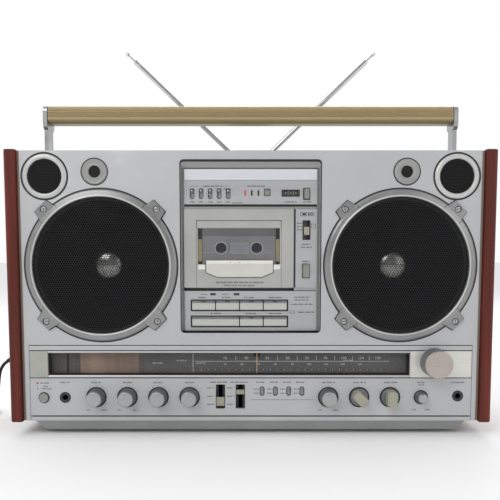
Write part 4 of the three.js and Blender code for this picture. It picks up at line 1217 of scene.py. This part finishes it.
def small_deck_parts():
    for name, rim_look in (("memory_button", KNOB_SIDE), ("counter_reset_button", BLACK),
                           ("eject_button", KNOB_SIDE)):
        refined(name, BUTTON, name, edge=0.35, segments=3)
        low, high = extent(name)
        rim = slab(rectangle(low.x - 0.2, high.x + 0.2, low.z - 0.2, high.z + 0.2, 0.9), 4.95, 5.4,
                   [rectangle(low.x + 0.55, high.x - 0.55, low.z + 0.55, high.z - 0.55, 0.6)], edge=0.1)
        piece(f"{name}_rim", rim, rim_look)
    refined("timer_slide", CREAM, "timer_slide", edge=0.4, segments=3)
    plate("timer_slot_rim", (61.4, 70.8, 216.5, 239.6, 0.8), 4.95, 5.4, INK,
          holes=[rectangle(62.2, 70, 217.3, 238.8, 0.4)], edge=0.1)
    lamps = ((-6.4, RED, "orange_pointer"), (1.3, BLACK, "black_plastic"), (9.2, BLACK, "black_plastic"))
    for i, (x, look, slot) in enumerate(lamps):
        plate(f"deck_lamp_{i + 1}", (x - 0.9, x + 0.9, 268.4, 274.9, 0.5), 4.7, 5.4, look, slot, edge=0.3)
    counter()


def counter():
    """The tape counter: a framed black window with three number wheels behind it."""
    plate("counter_surround", (36.6, 57.8, 267.4, 275.3, 0.5), 4.4, 5.3, BLACK,
          holes=[rectangle(38.2, 56.2, 268.8, 273.9, 0.3)], edge=0.25)
    wheels = bmesh.new()
    for i in range(3):
        x = 41.2 + 6 * i
        section = [(4.85 + 0.04 * abs(k - 3) ** 1.6, 268.7 + 0.88 * k) for k in range(7)]
        bar([(5.3, 268.6)] + section + [(5.3, 274.1)], x - 2.6, x + 2.6, edge=0.1, bm=wheels)
    piece("counter_wheels", wheels, BLACK)
    numerals("counter_digits", [("0", 41.2 + 6 * i, 271.3, 2.8) for i in range(3)], 4.82, DIM_INK)


def door():
    """The cassette door: frame, recessed band, tinted pane, tape, side slits, lip and flap."""
    body = "cassette_door"
    refined(body, DOOR, body, edge=0.35)
    plate("door_band", (-64.1, 36.1, 230.6, 239.3, 0.3), 5.3, 5.75, DOOR, "deck_silver", body, edge=0.2)
    lines = frame_lines(-64.5, 36.5, 160, 239.7, 0.35)
    printed("door_lines", lines[1:], 4.6, INK, body)
    holes = [circle(x, z, 6.3, 48) for x, z in REEL_HUBS]
    slot = "smoke_window"
    plate("door_pane_back", (-57.2, 29.4, 187.3, 230.2, 0.3), 5.85, 6.15, CARRIER, slot, body, holes,
          edge=0.1)
    # painted shadow: a darker strip across the pane's top, under the band
    plate("door_pane_painted_shadow", (-57.2, 29.4, 221, 230.2), 5.8, 5.9, CARRIER_SHADOW_PAINT, slot, body,
          edge=0.02, steps=1)
    plate("door_tape_view", (-23.4, -3, 200.6, 213, 0.8), 5.7, 5.9, TAPE_WINDOW, slot, body, edge=0.1)
    marks = frame_lines(-23.6, -2.8, 200.4, 213.2, 0.35)
    marks += [rectangle(-57, -24, 201.8, 202.1), rectangle(-2.4, 29.2, 201.8, 202.1)]
    printed("door_view_line", marks, 5.72, DIM_INK, body)
    hubs = bmesh.new()
    rings = bmesh.new()
    for x, z in REEL_HUBS:
        turned([(6.9, 5.9), (7.0, 5.72), (7.3, 5.72), (7.4, 5.9)], x, z, 64, bm=rings)
        turned([(0, 5.95), (5.9, 5.95), (6.3, 5.8), (6.4, 6.1)], x, z, 48, bm=hubs)
        for tooth in circle(x, z, 4.9, 6):
            turned([(0, 5.6), (0.6, 5.7), (0.7, 5.96)], *tooth, 10, bm=hubs)
    piece("door_hub_rings", rings, TRIM, body)
    piece("door_hubs", hubs, NAVY, body)
    door_slits(body)
    door_flap(body)


def door_slits(body):
    """Dark slits beside the pane with khaki guides in them, and small white blocks below."""
    dark, guides, blocks = bmesh.new(), bmesh.new(), bmesh.new()
    for x0, x1 in ((-62.5, -57.4), (29.6, 34.5)):
        slab(rectangle(x0, x1, 187.2, 230.2), 5.9, 6.15, edge=0.05, steps=1, bm=dark)
        slab(rectangle(x0 + 0.3, x1 - 0.2, 191, 217.5, 0.6), 4.9, 6.0, edge=0.4, bm=guides)
    for x0, x1 in ((-62.4, -54), (27.2, 35.2)):
        slab(rectangle(x0, x1, 181.4, 187.4, 0.5), 4.2, 5.4, edge=0.4, bm=blocks)
    piece("door_slits", dark, BLACK, body)
    piece("door_guides", guides, KHAKI, body)
    piece("door_blocks", blocks, WHITE, body)


def door_flap(body):
    """The cream flap under the window, its lower corners cut off, and a bright upper step."""
    outline = [(-52.8, 178), (-39.6, 172.6), (13, 172.6), (26.4, 178), (26.4, 192.3), (-52.8, 192.3)]
    piece("door_flap", slab(outline, 3.0, 5.0, edge=0.5), FLAP, body)
    edge = [(-54, 177.3), (-40, 171.3), (13.4, 171.3), (27.6, 177.3), (27.6, 187.3), (-54, 187.3)]
    piece("door_flap_edge", slab(edge, 4.4, 4.75, edge=0.1), KNOB_SIDE, body)
    plate("door_flap_step", (-52.6, 26.2, 188.2, 192.1, 0.4), 2.6, 3.4, WHITE, "cream_plastic", body,
          edge=0.3)
    marks = legend(-13.5, 166.2, 56, 1.9, 170) + legend(-13.5, 162.6, 36, 1.2, 171)
    printed("door_legend", marks, 4.6, INK, body)
    marks = [rectangle(x - 0.3, x + 0.3, 189.4, 190.6) for x in (-24, -13.5, -3)]
    printed("door_flap_marks", marks, 2.6, INK, body)


# ------------------------------------------------------------------------------------------
# Handle and antennas
# ------------------------------------------------------------------------------------------

def handle():
    """The ribbed grip between two chrome arms."""
    low, high = extent("handle_grip")
    base = rectangle(low.y, high.y, low.z, high.z, 8, steps=10)
    section = []
    for (y0, z0), (y1, z1) in zip(base, base[1:] + base[:1]):
        length = math.hypot(y1 - y0, z1 - z0)
        count = max(1, round(length / 0.3))
        section += [(y0 + (y1 - y0) * i / count, z0 + (z1 - z0) * i / count) for i in range(count)]
    ribbed = []
    for y, z in section:
        on_front = y < low.y + 2.5 and low.z + 7.5 < z < high.z - 1.8
        depth = 0.9 * (0.5 - 0.5 * math.cos(2 * math.pi * (z - low.z) / 2.2)) if on_front else 0
        ribbed.append((y + depth, z))
    piece("handle_grip_ribbed", bar(ribbed, low.x, high.x, edge=0.6), GOLD, "handle", ("handle_grip",),
          smooth=40)
    for _, word in SIDES:
        refined(f"handle_arm_{word}", ARM_METAL, "handle", edge=0.6, segments=3)


def antennas():
    for _, word in SIDES:
        for kind in ("knuckle", "tube", "rod"):
            name = f"antenna_{kind}_{word}"
            refined(name, CHROME, name, edge=0.25)


# ------------------------------------------------------------------------------------------
# Inside and back
# ------------------------------------------------------------------------------------------

def inside():
    refined("inner_chassis", STEEL, "root", edge=0.4)
    for _, word in SIDES:
        name = f"reel_spindle_{word}"
        refined(name, WHITE, name, edge=0.2)


def rear_details():
    """Battery cover, socket panel, vents, screws, a blank label and rubber foot pads."""
    back = 150
    cover = slab(rectangle(-149, 149, 29, 127, 2), back - 1.5, back + 0.6, edge=0.6, round_back=True)
    for i in range(21):
        x = -130 + 13 * i
        slab(rectangle(x - 2, x + 2, 42, 114, 1.9), back + 0.3, back + 1.5, edge=0.8, round_back=True,
             bm=cover)
    piece("battery_cover", cover, GREY)
    plate("battery_latch", (-14, 14, 117, 124, 2), back + 0.2, back + 1.8, GREY, "cabinet_grey",
          edge=0.6, round_back=True)
    plate("socket_panel", (169, 243, 41, 99, 1.5), back - 1.5, back - 0.2, BLACK,
          edge=0.3, round_back=True)
    sockets, collars = bmesh.new(), bmesh.new()
    for column in range(3):
        for row in range(2):
            x, z = 184 + 22 * column, 56 + 27 * row
            turned([(1.8, back), (1.8, back + 3.4), (3.6, back + 3.4), (4.2, back + 2.8), (4.2, back - 0.3)],
                   x, z, 32, bm=sockets)
            turned([(4.2, back), (5.6, back), (5.8, back - 0.3)], x, z, 32, bm=collars)
    piece("rear_sockets", sockets, STEEL)
    piece("rear_collars", collars, WHITE)
    vents, screws = bmesh.new(), bmesh.new()
    for side, _ in SIDES:
        for i in range(12):
            z = 170 + 8 * i
            slab(rectangle(side * 176 - 50, side * 176 + 50, z, z + 3.2, 1.5), back - 0.4, back + 0.9,
                 edge=0.5, round_back=True, bm=vents)
        for z in (12, 160, 308):
            turned([(0, back + 0.8), (2.2, back + 0.8), (3.4, back + 0.4), (3.6, back - 0.3)],
                   side * 258, z, 24, bm=screws)
    piece("rear_louvres", vents, GREY)
    piece("rear_screws", screws, STEEL)
    plate("rear_label", (-60, 60, 150, 196, 2), back - 0.2, back + 0.25, TRIM, "bright_trim",
          edge=0.15, round_back=True)
    pads = bmesh.new()
    for side, _ in SIDES:
        for y in (42, 118):
            pad = turned([(0, -FLOOR_Z), (11.2, -FLOOR_Z), (12.4, -FLOOR_Z - 0.8), (12.6, -FLOOR_Z - 4),
                          (11, -FLOOR_Z - 4.4)], 0, 0, 48)
            upright = rotation(-90, "X")
            moved_in(pads, pad, Matrix.Translation((side * 215, y, 0)) @ upright)
    piece("foot_pads", pads, RUBBER)


cabinet()
face_plate()
control_panel()
tuner_surround()
panel_print()
dial()
for side, word in SIDES:
    woofer_ring(side, word)
    woofer_mesh(side, word)
    woofer_driver(side, word)
    tweeter(side, word)
    microphone(side, word)
knobs()
slides()
levers()
power_and_sockets()
deck_frame()
deck_panels()
deck_print()
keys()
small_deck_parts()
door()
handle()
antennas()
inside()
rear_details()
mains_lead()

FLOOR_REACH = 40                # metres from the middle to each edge
floor = added("floor", bpy.data.meshes.new("floor"))
floor_corners = [(x, y, 0) for x, y in centred(0, 0, FLOOR_REACH, FLOOR_REACH)]
floor.data.from_pydata(floor_corners, [], [(0, 1, 2, 3)])
floor.data.materials.append(FLOOR)
